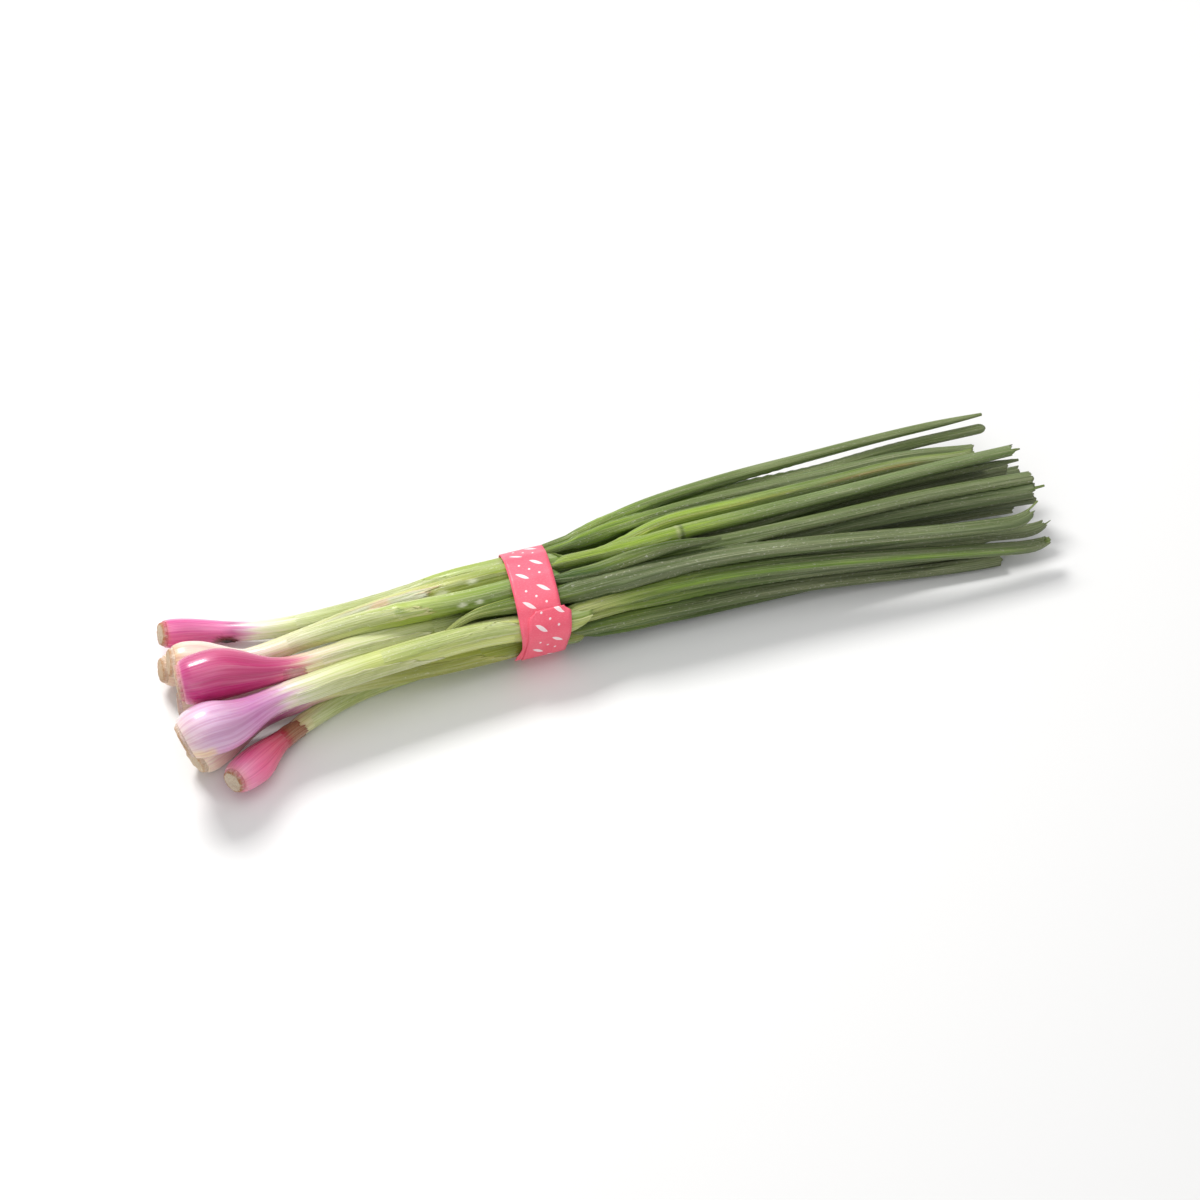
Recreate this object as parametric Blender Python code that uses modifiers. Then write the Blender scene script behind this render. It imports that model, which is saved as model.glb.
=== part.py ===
"""A bunch of spring onions lying on its side, held together by a paper band.

Eight whole plants lie side by side. Each one has a root plate, a coloured bulb, a pale stem and
two to four long hollow leaves. The bunch runs along X, with the bulbs at -X and the leaf ends at
+X. Z is up, and the bunch rests on the plane z = 0. Lengths in the values below are millimetres.
"""
import math

import bmesh
import bpy
import numpy as np
from mathutils import Vector

MM = 0.001
COLLECTION = "spring_onion_bunch"

# Fit between neighbours.
FACE_GAP = 0.3
SIDE_GAP = 0.5

# The paper band round the middle of the bunch.
BAND_CENTRE = -4.2
BAND_TILT = 0.06
BAND_WIDTH = 21.0
BAND_PAPER = 0.6
BAND_OVERLAP_TURN = math.radians(75)
BAND_START_ANGLE = math.radians(214)
BAND_LAYER_LIFT = 0.95
BAND_LIFT_TURN = math.radians(14)
BAND_END_SKEW = 5.0
BAND_STEPS = 96
BAND_SLACK = 0.5
BAND_SEAT = BAND_PAPER + 0.3
BAND_FLAT = (-6.0, 4.0)
BAND_MARGIN = 1.0
BAND_MARK_STEP = 1.5
OUTLINE_MARKS = 72
TIED_HALF_WIDTH = 26.5
TIED_HALF_HEIGHT = 20.0

# Sections along a plant.
ROOT_PLATE_THICK = 2.4
ROOT_PLATE_SHARE = 0.80
ROOT_PLATE_TAPER = 0.94
SHOULDER_SHARE = 0.90
SHOULDER_RUN = 1.4
FOOT_RUN = 9.0
BUNCH_START = -192.0
BULBS_END = -118.0
BUNCH_END = 270.0
BULB_RING_STEP = 4.0
STEM_RING_STEP = 12.0
END_MARGIN = 2.0
CAP_STUB = 0.8
LEVEL = np.array([1.0, 0.0, 0.0])
STEM_SWELL_LENGTH = 90.0
MOUTH_TAPER_LENGTH = 45.0
MOUTH_SHARE = 0.84
BULB_SIDES = 4
TUBE_SIDES = 2

# A cut leaf is open at its end, and a pointed one closes over this length.
LEAF_WALL = 0.9
LEAF_HOLLOW_DEPTH = 9.0
POINT_LENGTH = 32.0
POINT_RADIUS = 0.8
POINT_SHOULDER = 0.3
LEAF_SPREAD_LENGTH = 34.0
BRANCH_START_SHARE = 0.45
MOUTH_START_SHARE = 0.66
MOUTH_OFFSET_SHARE = 0.62
WALL_SHARE = 0.45

# How the strands settle against each other.
STATION_STEP = 3.0
MOUTH_MARGIN = 1.0
SETTLE_ROUNDS = 700
SETTLE_PULL = 0.03
SETTLE_EASE = 0.2
SETTLE_PUSH = 0.45
FIRM_ROUNDS = 900
WIDE_SPREAD_SHARE = 0.4
NARROW_SPREAD_SHARE = 0.8

# Each plant's axis runs from the cut root plate to the mouth of its stem: (along, across, up).
# The bulb swells from the root radius to the belly and narrows to the neck over its length.
PLANTS = {
    "onion_1": {
        "axis": [(-178, 38.2, 14), (-159, 38.6, 8), (-136, 32, 8), (-112, 28, 9), (-88, 24, 14),
                 (-64, 20, 21), (-39, 20, 26), (-14, 18, 29), (26, 20, 30)],
        "root": 7.3, "belly": 7.2, "belly_at": 6, "bulb_length": 40, "neck": 4.9, "stem": 5.6,
        "colour": (0.72, 0.14, 0.32),
    },
    "onion_2": {
        "axis": [(-178, 8.3, 29.5), (-162, 6.6, 26), (-140, 2, 26), (-117, 1, 29), (-93, -1, 32),
                 (-45, -4, 35), (-15, -5, 34), (26, -6, 34)],
        "root": 8.6, "belly": 10.0, "belly_at": 12, "bulb_length": 40, "neck": 4.6, "stem": 5.4,
        "colour": (0.86, 0.70, 0.62),
    },
    "onion_3": {
        "axis": [(-177, -12, 38), (-161, -14, 37), (-145, -15, 35.5), (-121, -14, 32.5),
                 (-95, -10, 31), (-51, -7, 28), (14, -6, 24)],
        "root": 10.8, "belly": 12.5, "belly_at": 17, "bulb_length": 53, "neck": 5.6, "stem": 6.0,
        "colour": (0.52, 0.03, 0.19),
    },
    "onion_4": {
        "axis": [(-181, -40, 31), (-167, -35, 30), (-148, -29, 30), (-123, -25, 30),
                 (-98, -21, 30), (-49, -17, 29), (38, -16, 27)],
        "root": 10.6, "belly": 12.4, "belly_at": 15, "bulb_length": 50, "neck": 6.4, "stem": 6.6,
        "colour": (0.72, 0.36, 0.58),
    },
    "onion_5": {
        "axis": [(-177, -38, 9.5), (-163, -31, 9.5), (-144, -23, 10.5), (-123, -20, 12),
                 (-74, -18, 14), (-18, -18, 14), (26, -18, 14)],
        "root": 8.8, "belly": 9.8, "belly_at": 9, "bulb_length": 40, "neck": 5.0, "stem": 6.4,
        "colour": (0.80, 0.52, 0.55),
    },
    "onion_6": {
        "axis": [(-163, -56, 13), (-151, -46.5, 9), (-137, -36, 8.5), (-123, -27, 8), (-114, -22, 7),
                 (-99, -17, 6), (-60, -12, 6), (-17, -8, 7), (14, -5, 7)],
        "root": 7.5, "belly": 8.5, "belly_at": 13, "bulb_length": 40, "neck": 4.5, "stem": 6.0,
        "colour": (0.58, 0.07, 0.15),
    },
    "onion_7": {
        "axis": [(-182, 16.9, 14), (-164, 17.2, 9.8), (-140, 15, 10), (-115, 15, 14), (-90, 14, 21),
                 (-66, 11, 28), (-42, 7, 33), (-14, 5, 34), (38, 5, 36)],
        "root": 7.6, "belly": 8.8, "belly_at": 10, "bulb_length": 38, "neck": 4.8, "stem": 5.5,
        "colour": (0.80, 0.60, 0.55),
    },
    "onion_8": {
        "axis": [(-178, -3, 10), (-160, -5, 10), (-120, -4, 10), (-94, 0, 10), (-44, 8, 10),
                 (-14, 12, 11), (26, 13, 11)],
        "root": 8.4, "belly": 9.8, "belly_at": 10, "bulb_length": 38, "neck": 5.4, "stem": 6.6,
        "colour": (0.80, 0.58, 0.60),
    },
}

# Each leaf: its plant, its radius near the stem and near its end, where it leaves the stem (None
# for the stem's mouth), whether it tapers to a point, and the places that it passes through.
LEAVES = [
    ("onion_1", 3.2, 2.0, None, True,
     [(60, 31, 31), (100, 37, 31), (150, 41, 29), (200, 45, 26), (245, 47, 23)]),
    ("onion_1", 3.4, 2.6, None, False,
     [(60, 29, 27), (100, 34, 26), (150, 35, 24), (200, 41, 20), (246, 43, 17)]),
    ("onion_1", 3.6, 3.0, None, False,
     [(60, 25, 32), (100, 27, 31), (150, 29, 27), (200, 31, 24), (234, 28, 20)]),
    ("onion_2", 4.0, 3.2, None, False,
     [(60, -7, 38), (100, -6, 36), (150, -4, 33), (200, -2, 29), (252, -2, 25)]),
    ("onion_2", 3.2, 2.6, None, True,
     [(60, -5, 43), (88, -7, 43)]),
    ("onion_2", 3.8, 3.4, -22, False,
     [(60, -6, 32), (100, -7, 31), (150, -3, 28), (200, -4, 26), (252, -6, 22)]),
    ("onion_3", 3.7, 2.4, None, True,
     [(60, 5, 32), (110, 6, 31), (160, 11, 29), (210, 14, 25), (252, 15, 21)]),
    ("onion_3", 3.8, 3.2, None, False,
     [(60, -5, 25), (100, -4, 23), (160, -1, 20), (254, -6, 15)]),
    ("onion_3", 3.8, 3.2, None, False,
     [(70, -8, 23), (128, -10, 19), (178, -16, 16), (253, -23, 10)]),
    ("onion_3", 3.6, 3.2, None, False,
     [(60, 10, 24), (105, 12, 22), (168, 14, 19), (248, 16, 14)]),
    ("onion_4", 4.6, 3.8, -34, False,
     [(60, -11, 37), (100, -13, 36), (150, -18, 33), (200, -23, 28), (243, -26, 24)]),
    ("onion_4", 4.6, 3.4, None, False,
     [(75, -16, 30), (124, -20, 27), (174, -26, 22), (224, -32, 16), (249, -34, 12)]),
    ("onion_4", 3.7, 3.2, None, False,
     [(75, -15, 22), (126, -18, 17), (176, -22, 11), (219, -24, 6)]),
    ("onion_5", 4.0, 3.3, None, False,
     [(75, -19, 16), (125, -20, 12), (176, -23, 8), (227, -28, 5)]),
    ("onion_5", 3.7, 2.8, None, True,
     [(75, -18, 7), (98, -17, 5), (157, -18, 4)]),
    ("onion_6", 3.8, 3.4, None, False,
     [(60, 3, 17), (102, 2, 15), (164, 2, 12), (242, -3, 9)]),
    ("onion_6", 3.9, 3.4, -22, False,
     [(60, 2, 6), (110, 4, 5), (170, 7, 4), (236, 9, 4)]),
    ("onion_7", 4.0, 3.0, None, False,
     [(60, 14, 37), (100, 17, 35), (150, 20, 32), (200, 23, 28), (231, 21, 24)]),
    ("onion_7", 4.0, 3.2, None, False,
     [(60, 5, 40), (112, 7, 38), (165, 10, 35), (209, 14, 31), (249, 17, 27)]),
    ("onion_8", 3.8, 3.3, None, False,
     [(60, 19, 16), (108, 19, 14), (170, 19, 11), (257, 19, 6)]),
    ("onion_8", 3.9, 3.2, None, False,
     [(60, 18, 8), (110, 25, 6), (170, 29, 5), (228, 32, 4)]),
    ("onion_8", 3.6, 3.0, -22, False,
     [(60, 27, 20), (110, 32, 17), (165, 35, 13), (216, 37, 10)]),
]

STEM_COLOUR = (0.52, 0.60, 0.22)
LEAF_COLOUR = (0.075, 0.135, 0.045)
ROOT_COLOUR = (0.74, 0.58, 0.40)
PAPER_COLOUR = (0.90, 0.13, 0.19)


def clear_scene():
    """Remove whatever the scene holds."""
    for obj in list(bpy.data.objects):
        bpy.data.objects.remove(obj, do_unlink=True)


def make_material(name, colour, roughness):
    """A plain Principled material."""
    material = bpy.data.materials.new(name)
    material.use_nodes = True
    shader = material.node_tree.nodes["Principled BSDF"]
    shader.inputs["Base Color"].default_value = (*colour, 1.0)
    shader.inputs["Roughness"].default_value = roughness
    shader.inputs["Metallic"].default_value = 0.0
    return material


def smooth_route(points, xs):
    """A smooth curve through points of growing x, read at the places xs."""
    points = np.array(points, float)
    px = points[:, 0]
    slopes = np.gradient(points[:, 1:], px, axis=0)
    index = np.clip(np.searchsorted(px, xs) - 1, 0, len(px) - 2)
    span = px[index + 1] - px[index]
    t = np.clip((xs - px[index]) / span, 0.0, 1.0)[:, None]
    span = span[:, None]
    return ((2 * t**3 - 3 * t**2 + 1) * points[index, 1:]
            + (t**3 - 2 * t**2 + t) * span * slopes[index]
            + (3 * t**2 - 2 * t**3) * points[index + 1, 1:]
            + (t**3 - t**2) * span * slopes[index + 1])


def bulb_radius(plant, s):
    """The plant's radius at s mm from the outer face of its root plate."""
    root, belly, neck = plant["root"], plant["belly"], plant["neck"]
    if s < plant["belly_at"]:
        return root + (belly - root) * math.sin(0.5 * math.pi * s / plant["belly_at"])
    if s < plant["bulb_length"]:
        share = (s - plant["belly_at"]) / (plant["bulb_length"] - plant["belly_at"])
        return neck + (belly - neck) * (0.5 + 0.5 * math.cos(math.pi * share))
    share = min(1.0, (s - plant["bulb_length"]) / STEM_SWELL_LENGTH)
    to_mouth = min(1.0, max(0.0, plant["length"] - s) / MOUTH_TAPER_LENGTH)
    return (neck + (plant["stem"] - neck) * share) * (MOUTH_SHARE + (1.0 - MOUTH_SHARE) * to_mouth)


def leaf_radius(leaf, x):
    """The leaf's radius at x: it swells out of the stem, narrows slowly and may end in a point."""
    x = min(max(x, leaf["start"]), leaf["end"])
    grown = min(1.0, (x - leaf["start"]) / LEAF_SPREAD_LENGTH)
    share = (x - leaf["start"]) / (leaf["end"] - leaf["start"])
    radius = leaf["near"] + (leaf["far"] - leaf["near"]) * share
    first = BRANCH_START_SHARE if leaf["branches"] else MOUTH_START_SHARE
    radius *= first + (1.0 - first) * math.sin(0.5 * math.pi * grown)
    if leaf["pointed"]:
        left = min(1.0, (leaf["end"] - x) / POINT_LENGTH)
        radius = POINT_RADIUS + (radius - POINT_RADIUS) * math.sin(0.5 * math.pi * left)
    return radius


def build_strands():
    """Every stem and leaf as a strand: its guide route, its ends and its radius at the rings."""
    rings = np.concatenate([np.arange(BUNCH_START, BULBS_END, BULB_RING_STEP),
                            np.arange(BULBS_END, BUNCH_END, STEM_RING_STEP)])
    strands = []
    for name, plant in PLANTS.items():
        axis = plant["axis"]
        guide = smooth_route(axis, rings)
        steps = np.hypot(np.diff(rings), np.hypot(*np.diff(guide, axis=0).T))
        run = np.concatenate([[0.0], np.cumsum(steps)])
        run = run - np.interp(axis[0][0], rings, run)
        run_end = np.interp(axis[-1][0], rings, run)
        plant["length"] = run_end
        radius = np.array([bulb_radius(plant, max(0.0, s)) for s in run])
        strands.append({"name": name, "plant": name, "start": axis[0][0], "end": axis[-1][0],
                        "guide": guide, "radius": radius, "leaf": False, "branches": False})
    counts = {}
    for owner, near, far, leaves_at, pointed, places in LEAVES:
        counts[owner] = counts.get(owner, 0) + 1
        mouth = PLANTS[owner]["axis"][-1]
        leaf = {"name": f"{owner}_leaf_{counts[owner]}", "plant": owner, "near": near, "far": far,
                "branches": leaves_at is not None, "pointed": pointed, "leaf": True}
        leaf["start"] = leaves_at if leaves_at is not None else mouth[0] + FACE_GAP
        leaf["end"] = places[-1][0]
        stem = smooth_route(PLANTS[owner]["axis"], np.array([leaf["start"]]))[0]
        towards = np.array(places[0][1:]) - stem
        reach = PLANTS[owner]["stem"] + near if leaf["branches"] else MOUTH_OFFSET_SHARE * near
        offset = stem + towards / max(np.hypot(*towards), 0.1) * reach
        leaf["guide"] = smooth_route([(leaf["start"], *offset), *places], rings)
        leaf["radius"] = np.array([leaf_radius(leaf, x) for x in rings])
        strands.append(leaf)
    return rings, strands


def strand_stations(strand, xs):
    """The stations where a strand takes up room: past its cut ends, but not past a stem's mouth."""
    if strand["leaf"]:
        return (xs >= strand["start"] - MOUTH_MARGIN) & (xs <= strand["end"] + STATION_STEP)
    return (xs >= strand["start"] - 2 * STATION_STEP) & (xs <= strand["end"] + MOUTH_MARGIN)


def keeps_clear(a, b):
    """Whether two strands push each other away: a leaf starts on its own stem's mouth."""
    if a is b:
        return False
    own = a["plant"] == b["plant"] and a["leaf"] != b["leaf"]
    return not own or a["branches"] or b["branches"]


def push_apart(centre, reach, active, apart):
    """How far overlapping strands have to move away from each other at every station."""
    offset = centre[:, :, None, :] - centre[:, None, :, :]
    distance = np.hypot(offset[..., 0], offset[..., 1]) + 1e-9
    need = reach[:, :, None] + reach[:, None, :] + SIDE_GAP
    overlap = np.maximum(0.0, need - distance) * (active[:, :, None] & active[:, None, :]) * apart
    return (offset / distance[..., None] * overlap[..., None]).sum(axis=2), overlap.max()


def band_push(centre, reach, xs):
    """How far strands have to move to stay in the tied section and above the flat of the band."""
    push = np.zeros_like(centre)
    tied = np.abs(xs - BAND_CENTRE) < 0.5 * BAND_WIDTH + STATION_STEP
    middle = BAND_SEAT + TIED_HALF_HEIGHT
    y, z, r = centre[tied, :, 0], centre[tied, :, 1] - middle, reach[tied]
    share = np.maximum(np.hypot(y / (TIED_HALF_WIDTH - r), z / (TIED_HALF_HEIGHT - r)), 1.0)
    push[tied, :, 0] = y / share - y
    push[tied, :, 1] = np.maximum(z / share + middle, r + BAND_SEAT) - middle - z
    return push


def spread_passes(turn):
    """How widely a push is shared along a strand, so that it bends and doesn't kink."""
    if turn < SETTLE_ROUNDS:
        return 3
    late = (turn - SETTLE_ROUNDS) / FIRM_ROUNDS
    if late < WIDE_SPREAD_SHARE:
        return 2
    return 1 if late < NARROW_SPREAD_SHARE else 0


def settle(rings, strands):
    """Lay the strands side by side: close to their guides, clear of each other and the surface."""
    guide = np.stack([s["guide"] for s in strands], axis=1)
    xs = np.arange(rings[0], rings[-1], STATION_STEP)
    blend = np.array([np.interp(xs, rings, one) for one in np.eye(len(rings))]).T
    radius = blend @ np.stack([s["radius"] for s in strands], axis=1)
    active = np.stack([strand_stations(s, xs) for s in strands], axis=1)
    apart = np.array([[keeps_clear(a, b) for a in strands] for b in strands])
    centre = guide.copy()
    for turn in range(SETTLE_ROUNDS + FIRM_ROUNDS):
        firm = turn >= SETTLE_ROUNDS
        if not firm:
            centre += SETTLE_PULL * (guide - centre)
            drift = centre - guide
            drift[1:-1] += SETTLE_EASE * (drift[2:] - 2 * drift[1:-1] + drift[:-2])
            centre = guide + drift
        at = np.einsum("ij,jkl->ikl", blend, centre)
        slope = np.gradient(at, STATION_STEP, axis=0)
        reach = radius * np.sqrt(1.0 + (slope**2).sum(axis=2))
        push, worst = push_apart(at, reach, active, apart)
        push = SETTLE_PUSH * push + band_push(at, reach, xs)
        push[..., 1] += np.maximum(0.0, reach - at[..., 1])
        push *= active[..., None]
        moved = (np.abs(push).sum(axis=2) > 1e-6).astype(float)
        weight = np.maximum(blend.T @ moved, 1.0)[..., None]
        step = np.einsum("ij,ikl->jkl", blend, push) / weight
        for _ in range(spread_passes(turn)):
            step[1:-1] = 0.5 * step[1:-1] + 0.25 * (step[2:] + step[:-2])
        centre += step
    print("left overlap", round(float(worst), 3))
    for j, strand in enumerate(strands):
        strand["centre"] = centre[:, j]
    return strands


def centre_at(strand, rings, x):
    """The strand's centre at x, on the straight run between two rings."""
    return np.array([x, *(np.interp(x, rings, strand["centre"][:, axis]) for axis in (0, 1))])


def line_through(strand, rings):
    """The strand's points at its ends and at the rings between, with the run along it."""
    start, end = strand["start"], strand["end"]
    inner = rings[(rings > start + END_MARGIN) & (rings < end - END_MARGIN)]
    points = np.array([centre_at(strand, rings, x) for x in (start, *inner, end)])
    run = np.concatenate([[0.0], np.cumsum(np.linalg.norm(np.diff(points, axis=0), axis=1))])
    return points, run


def point_at(points, run, s):
    """The point at run s."""
    return np.array([np.interp(s, run, points[:, axis]) for axis in range(3)])


def add_tube(name, points, radii, sides, material, collection):
    """A round stalk through the points, each with its own radius, closed at both ends."""
    curve = bpy.data.curves.new(name, "CURVE")
    curve.dimensions = "3D"
    curve.bevel_depth = 1.0
    curve.bevel_resolution = sides
    curve.use_fill_caps = True
    spline = curve.splines.new("POLY")
    spline.points.add(len(points) - 1)
    for place, point, radius in zip(spline.points, points, radii):
        place.co = (*(np.array(point) * MM), 1.0)
        place.radius = radius * MM
    curve.materials.append(material)
    obj = bpy.data.objects.new(name, curve)
    collection.objects.link(obj)
    return obj


def to_mesh(obj):
    """Turn a curve object into a welded mesh object of the same name."""
    name, collection = obj.name, obj.users_collection[0]
    depsgraph = bpy.context.evaluated_depsgraph_get()
    mesh = bpy.data.meshes.new_from_object(obj.evaluated_get(depsgraph))
    work = bmesh.new()
    work.from_mesh(mesh)
    bmesh.ops.remove_doubles(work, verts=work.verts, dist=0.00001)
    bmesh.ops.recalc_face_normals(work, faces=work.faces)
    work.to_mesh(mesh)
    work.free()
    matrix = obj.matrix_world.copy()
    bpy.data.objects.remove(obj, do_unlink=True)
    solid = bpy.data.objects.new(name, mesh)
    solid.matrix_world = matrix
    collection.objects.link(solid)
    return solid


def hollow_end(obj, tip, inward, radius):
    """Open the cut end of a leaf: a narrow wall round a blind hole."""
    work = bmesh.new()
    work.from_mesh(obj.data)
    tip = Vector(tip) * MM
    outward = -Vector(inward)
    flat = [face for face in work.faces
            if face.normal.dot(outward) > 0.99 and (face.calc_center_median() - tip).length < radius * MM]
    cap = bmesh.ops.dissolve_faces(work, faces=flat)["region"][0]
    bmesh.ops.inset_individual(work, faces=[cap], thickness=min(LEAF_WALL, WALL_SHARE * radius) * MM)
    bmesh.ops.translate(work, verts=cap.verts, vec=Vector(inward) * LEAF_HOLLOW_DEPTH * MM)
    work.to_mesh(obj.data)
    work.free()


def shade_round(obj):
    """Smooth shading, with the cut ends kept sharp."""
    obj.data.shade_smooth()
    obj.data.set_sharp_from_angle(angle=math.radians(50))


def build_plant(strand, rings, materials, collection):
    """The root plate, the bulb and the stem of one plant, face to face along its axis."""
    name, plant = strand["name"], PLANTS[strand["name"]]
    points, run = line_through(strand, rings)
    root = points[0]
    foot = point_at(points, run, FOOT_RUN) - root
    foot /= np.linalg.norm(foot)
    plate_radius = plant["root"] * ROOT_PLATE_SHARE
    plate = [root, root + foot * ROOT_PLATE_THICK]
    add_tube(f"{name}_root_plate", plate, [plate_radius * ROOT_PLATE_TAPER, plate_radius], BULB_SIDES,
             materials["root_plate"], collection)

    before_neck = np.searchsorted(run, plant["bulb_length"]) - 1
    neck_run = 0.5 * (run[before_neck] + run[before_neck + 1])
    first = ROOT_PLATE_THICK + FACE_GAP
    in_bulb = (run > first + FACE_GAP + SHOULDER_RUN) & (run < neck_run)
    bulb_run = [first, first + SHOULDER_RUN, *run[in_bulb], neck_run - 0.5 * FACE_GAP]
    bulb_points = [root + foot * s for s in bulb_run[:2]]
    bulb_points += [point_at(points, run, s) for s in bulb_run[2:]]
    bulb_radii = [plant["root"] * SHOULDER_SHARE] + [bulb_radius(plant, s) for s in bulb_run[1:]]
    add_tube(f"{name}_bulb", bulb_points, bulb_radii, BULB_SIDES, materials[f"{name}_skin"], collection)

    mouth = points[-1]
    in_stem = (run > neck_run) & (run < run[-1] - END_MARGIN)
    stem_run = [neck_run + 0.5 * FACE_GAP, *run[in_stem]]
    stem_points = [point_at(points, run, s) for s in stem_run]
    stem_points += [mouth - LEVEL * CAP_STUB, mouth]
    stem_radii = [bulb_radius(plant, s) for s in stem_run] + [bulb_radius(plant, run[-1])] * 2
    add_tube(f"{name}_stem", stem_points, stem_radii, TUBE_SIDES, materials["stem"], collection)


def build_leaf(strand, rings, materials, collection):
    """One hollow leaf, from the stem to its cut or pointed end."""
    points, run = line_through(strand, rings)
    stops = list(run[1:])
    if strand["pointed"]:
        stops.append(run[-1] - POINT_SHOULDER * POINT_LENGTH)
        stops.sort()
    route = [points[0], points[0] + LEVEL * CAP_STUB] + [point_at(points, run, s) for s in stops]
    radii = [leaf_radius(strand, place[0]) for place in route]
    leaf = add_tube(strand["name"], route, radii, TUBE_SIDES, materials["leaf"], collection)
    if not strand["pointed"]:
        inward = route[-2] - route[-1]
        inward /= np.linalg.norm(inward)
        leaf = to_mesh(leaf)
        hollow_end(leaf, route[-1], inward, radii[-1])
        shade_round(leaf)


def convex_outline(points):
    """The convex outline of flat points, counter-clockwise."""
    points = sorted(map(tuple, points))
    outline = []
    for run in (points, points[::-1]):
        side = []
        for p in run:
            while len(side) > 1:
                (ay, az), (by, bz) = side[-2], side[-1]
                if (by - ay) * (p[1] - az) - (bz - az) * (p[0] - ay) > 0:
                    break
                side.pop()
            side.append(p)
        outline += side[:-1]
    return np.array(outline)


def tied_outline(rings, strands):
    """Where taut paper runs round the strands, pressed flat on the surface underneath."""
    ring = np.linspace(0.0, 2 * math.pi, OUTLINE_MARKS, endpoint=False)
    around = np.column_stack([np.cos(ring), np.sin(ring)])
    marks = [np.array([[across, BAND_PAPER] for across in BAND_FLAT])]
    half = 0.5 * BAND_WIDTH + BAND_MARGIN
    for strand in strands:
        for x in np.arange(BAND_CENTRE - half, BAND_CENTRE + half + BAND_END_SKEW, BAND_MARK_STEP):
            if strand["start"] <= x <= strand["end"]:
                reach = np.interp(x, rings, strand["radius"]) + BAND_SLACK
                marks.append(centre_at(strand, rings, x)[1:] + around * reach)
    outline = convex_outline(np.concatenate(marks))
    outline[:, 1] = np.maximum(outline[:, 1], BAND_PAPER)
    return outline


def outline_point(outline, middle, angle):
    """The point of a convex outline seen from the middle at an angle."""
    ray = np.array([math.cos(angle), math.sin(angle)])
    following = np.roll(outline, -1, axis=0)
    for a, b in zip(outline, following):
        edge = b - a
        cross = ray[0] * edge[1] - ray[1] * edge[0]
        if abs(cross) < 1e-9:
            continue
        away = a - middle
        reach = (away[0] * edge[1] - away[1] * edge[0]) / cross
        share = (away[0] * ray[1] - away[1] * ray[0]) / cross
        if reach > 0 and -1e-6 <= share <= 1 + 1e-6:
            return middle + ray * reach
    return middle


def build_band(rings, strands, materials, collection):
    """The paper band: one strip wound round the bunch a little more than once, end over start."""
    outline = tied_outline(rings, strands)
    middle = outline.mean(axis=0)
    turn = 2 * math.pi + BAND_OVERLAP_TURN
    mesh = bpy.data.meshes.new("paper_band")
    work = bmesh.new()
    pairs = []
    for i in range(BAND_STEPS + 1):
        swept = turn * i / BAND_STEPS
        angle = BAND_START_ANGLE - swept
        place = outline_point(outline, middle, angle)
        lift = min(1.0, max(0.0, (swept - (2 * math.pi - BAND_LIFT_TURN)) / BAND_LIFT_TURN))
        place = place + (place - middle) / np.linalg.norm(place - middle) * BAND_LAYER_LIFT * lift
        over = max(0.0, (swept - 2 * math.pi) / BAND_OVERLAP_TURN)
        skew = BAND_END_SKEW * over
        across = BAND_CENTRE + BAND_TILT * place[0] + skew
        left = (across - 0.5 * BAND_WIDTH, *place)
        right = (across + 0.5 * BAND_WIDTH, *place)
        pairs.append([work.verts.new(np.array(p) * MM) for p in (left, right)])
    for (a, b), (c, d) in zip(pairs, pairs[1:]):
        work.faces.new((a, b, d, c))
    work.to_mesh(mesh)
    work.free()
    band = bpy.data.objects.new("paper_band", mesh)
    collection.objects.link(band)
    band.data.materials.append(materials["paper"])
    paper = band.modifiers.new("paper", "SOLIDIFY")
    paper.thickness = BAND_PAPER * MM
    paper.offset = 1.0
    paper.use_even_offset = True
    shade_round(band)
    return band


def make_materials():
    """One material for each kind of surface, and one skin for each bulb."""
    materials = {
        "root_plate": make_material("root_plate", ROOT_COLOUR, 0.75),
        "stem": make_material("stem", STEM_COLOUR, 0.40),
        "leaf": make_material("leaf", LEAF_COLOUR, 0.50),
        "paper": make_material("paper", PAPER_COLOUR, 0.45),
    }
    for name, plant in PLANTS.items():
        materials[f"{name}_skin"] = make_material(f"{name}_skin", plant["colour"], 0.25)
    return materials


def main():
    """Build the bunch, with the middle of its band at the origin."""
    clear_scene()
    collection = bpy.data.collections.new(COLLECTION)
    bpy.context.scene.collection.children.link(collection)
    materials = make_materials()
    rings, strands = build_strands()
    settle(rings, strands)
    for strand in strands:
        if strand["leaf"]:
            build_leaf(strand, rings, materials, collection)
        else:
            build_plant(strand, rings, materials, collection)
    build_band(rings, strands, materials, collection)
    for obj in collection.objects:
        obj.location.x = -BAND_CENTRE * MM
        print(obj.name, obj.type)


main()
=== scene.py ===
import math
import random
from functools import partial

import bpy
import numpy as np
from mathutils import Matrix, Vector


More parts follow.
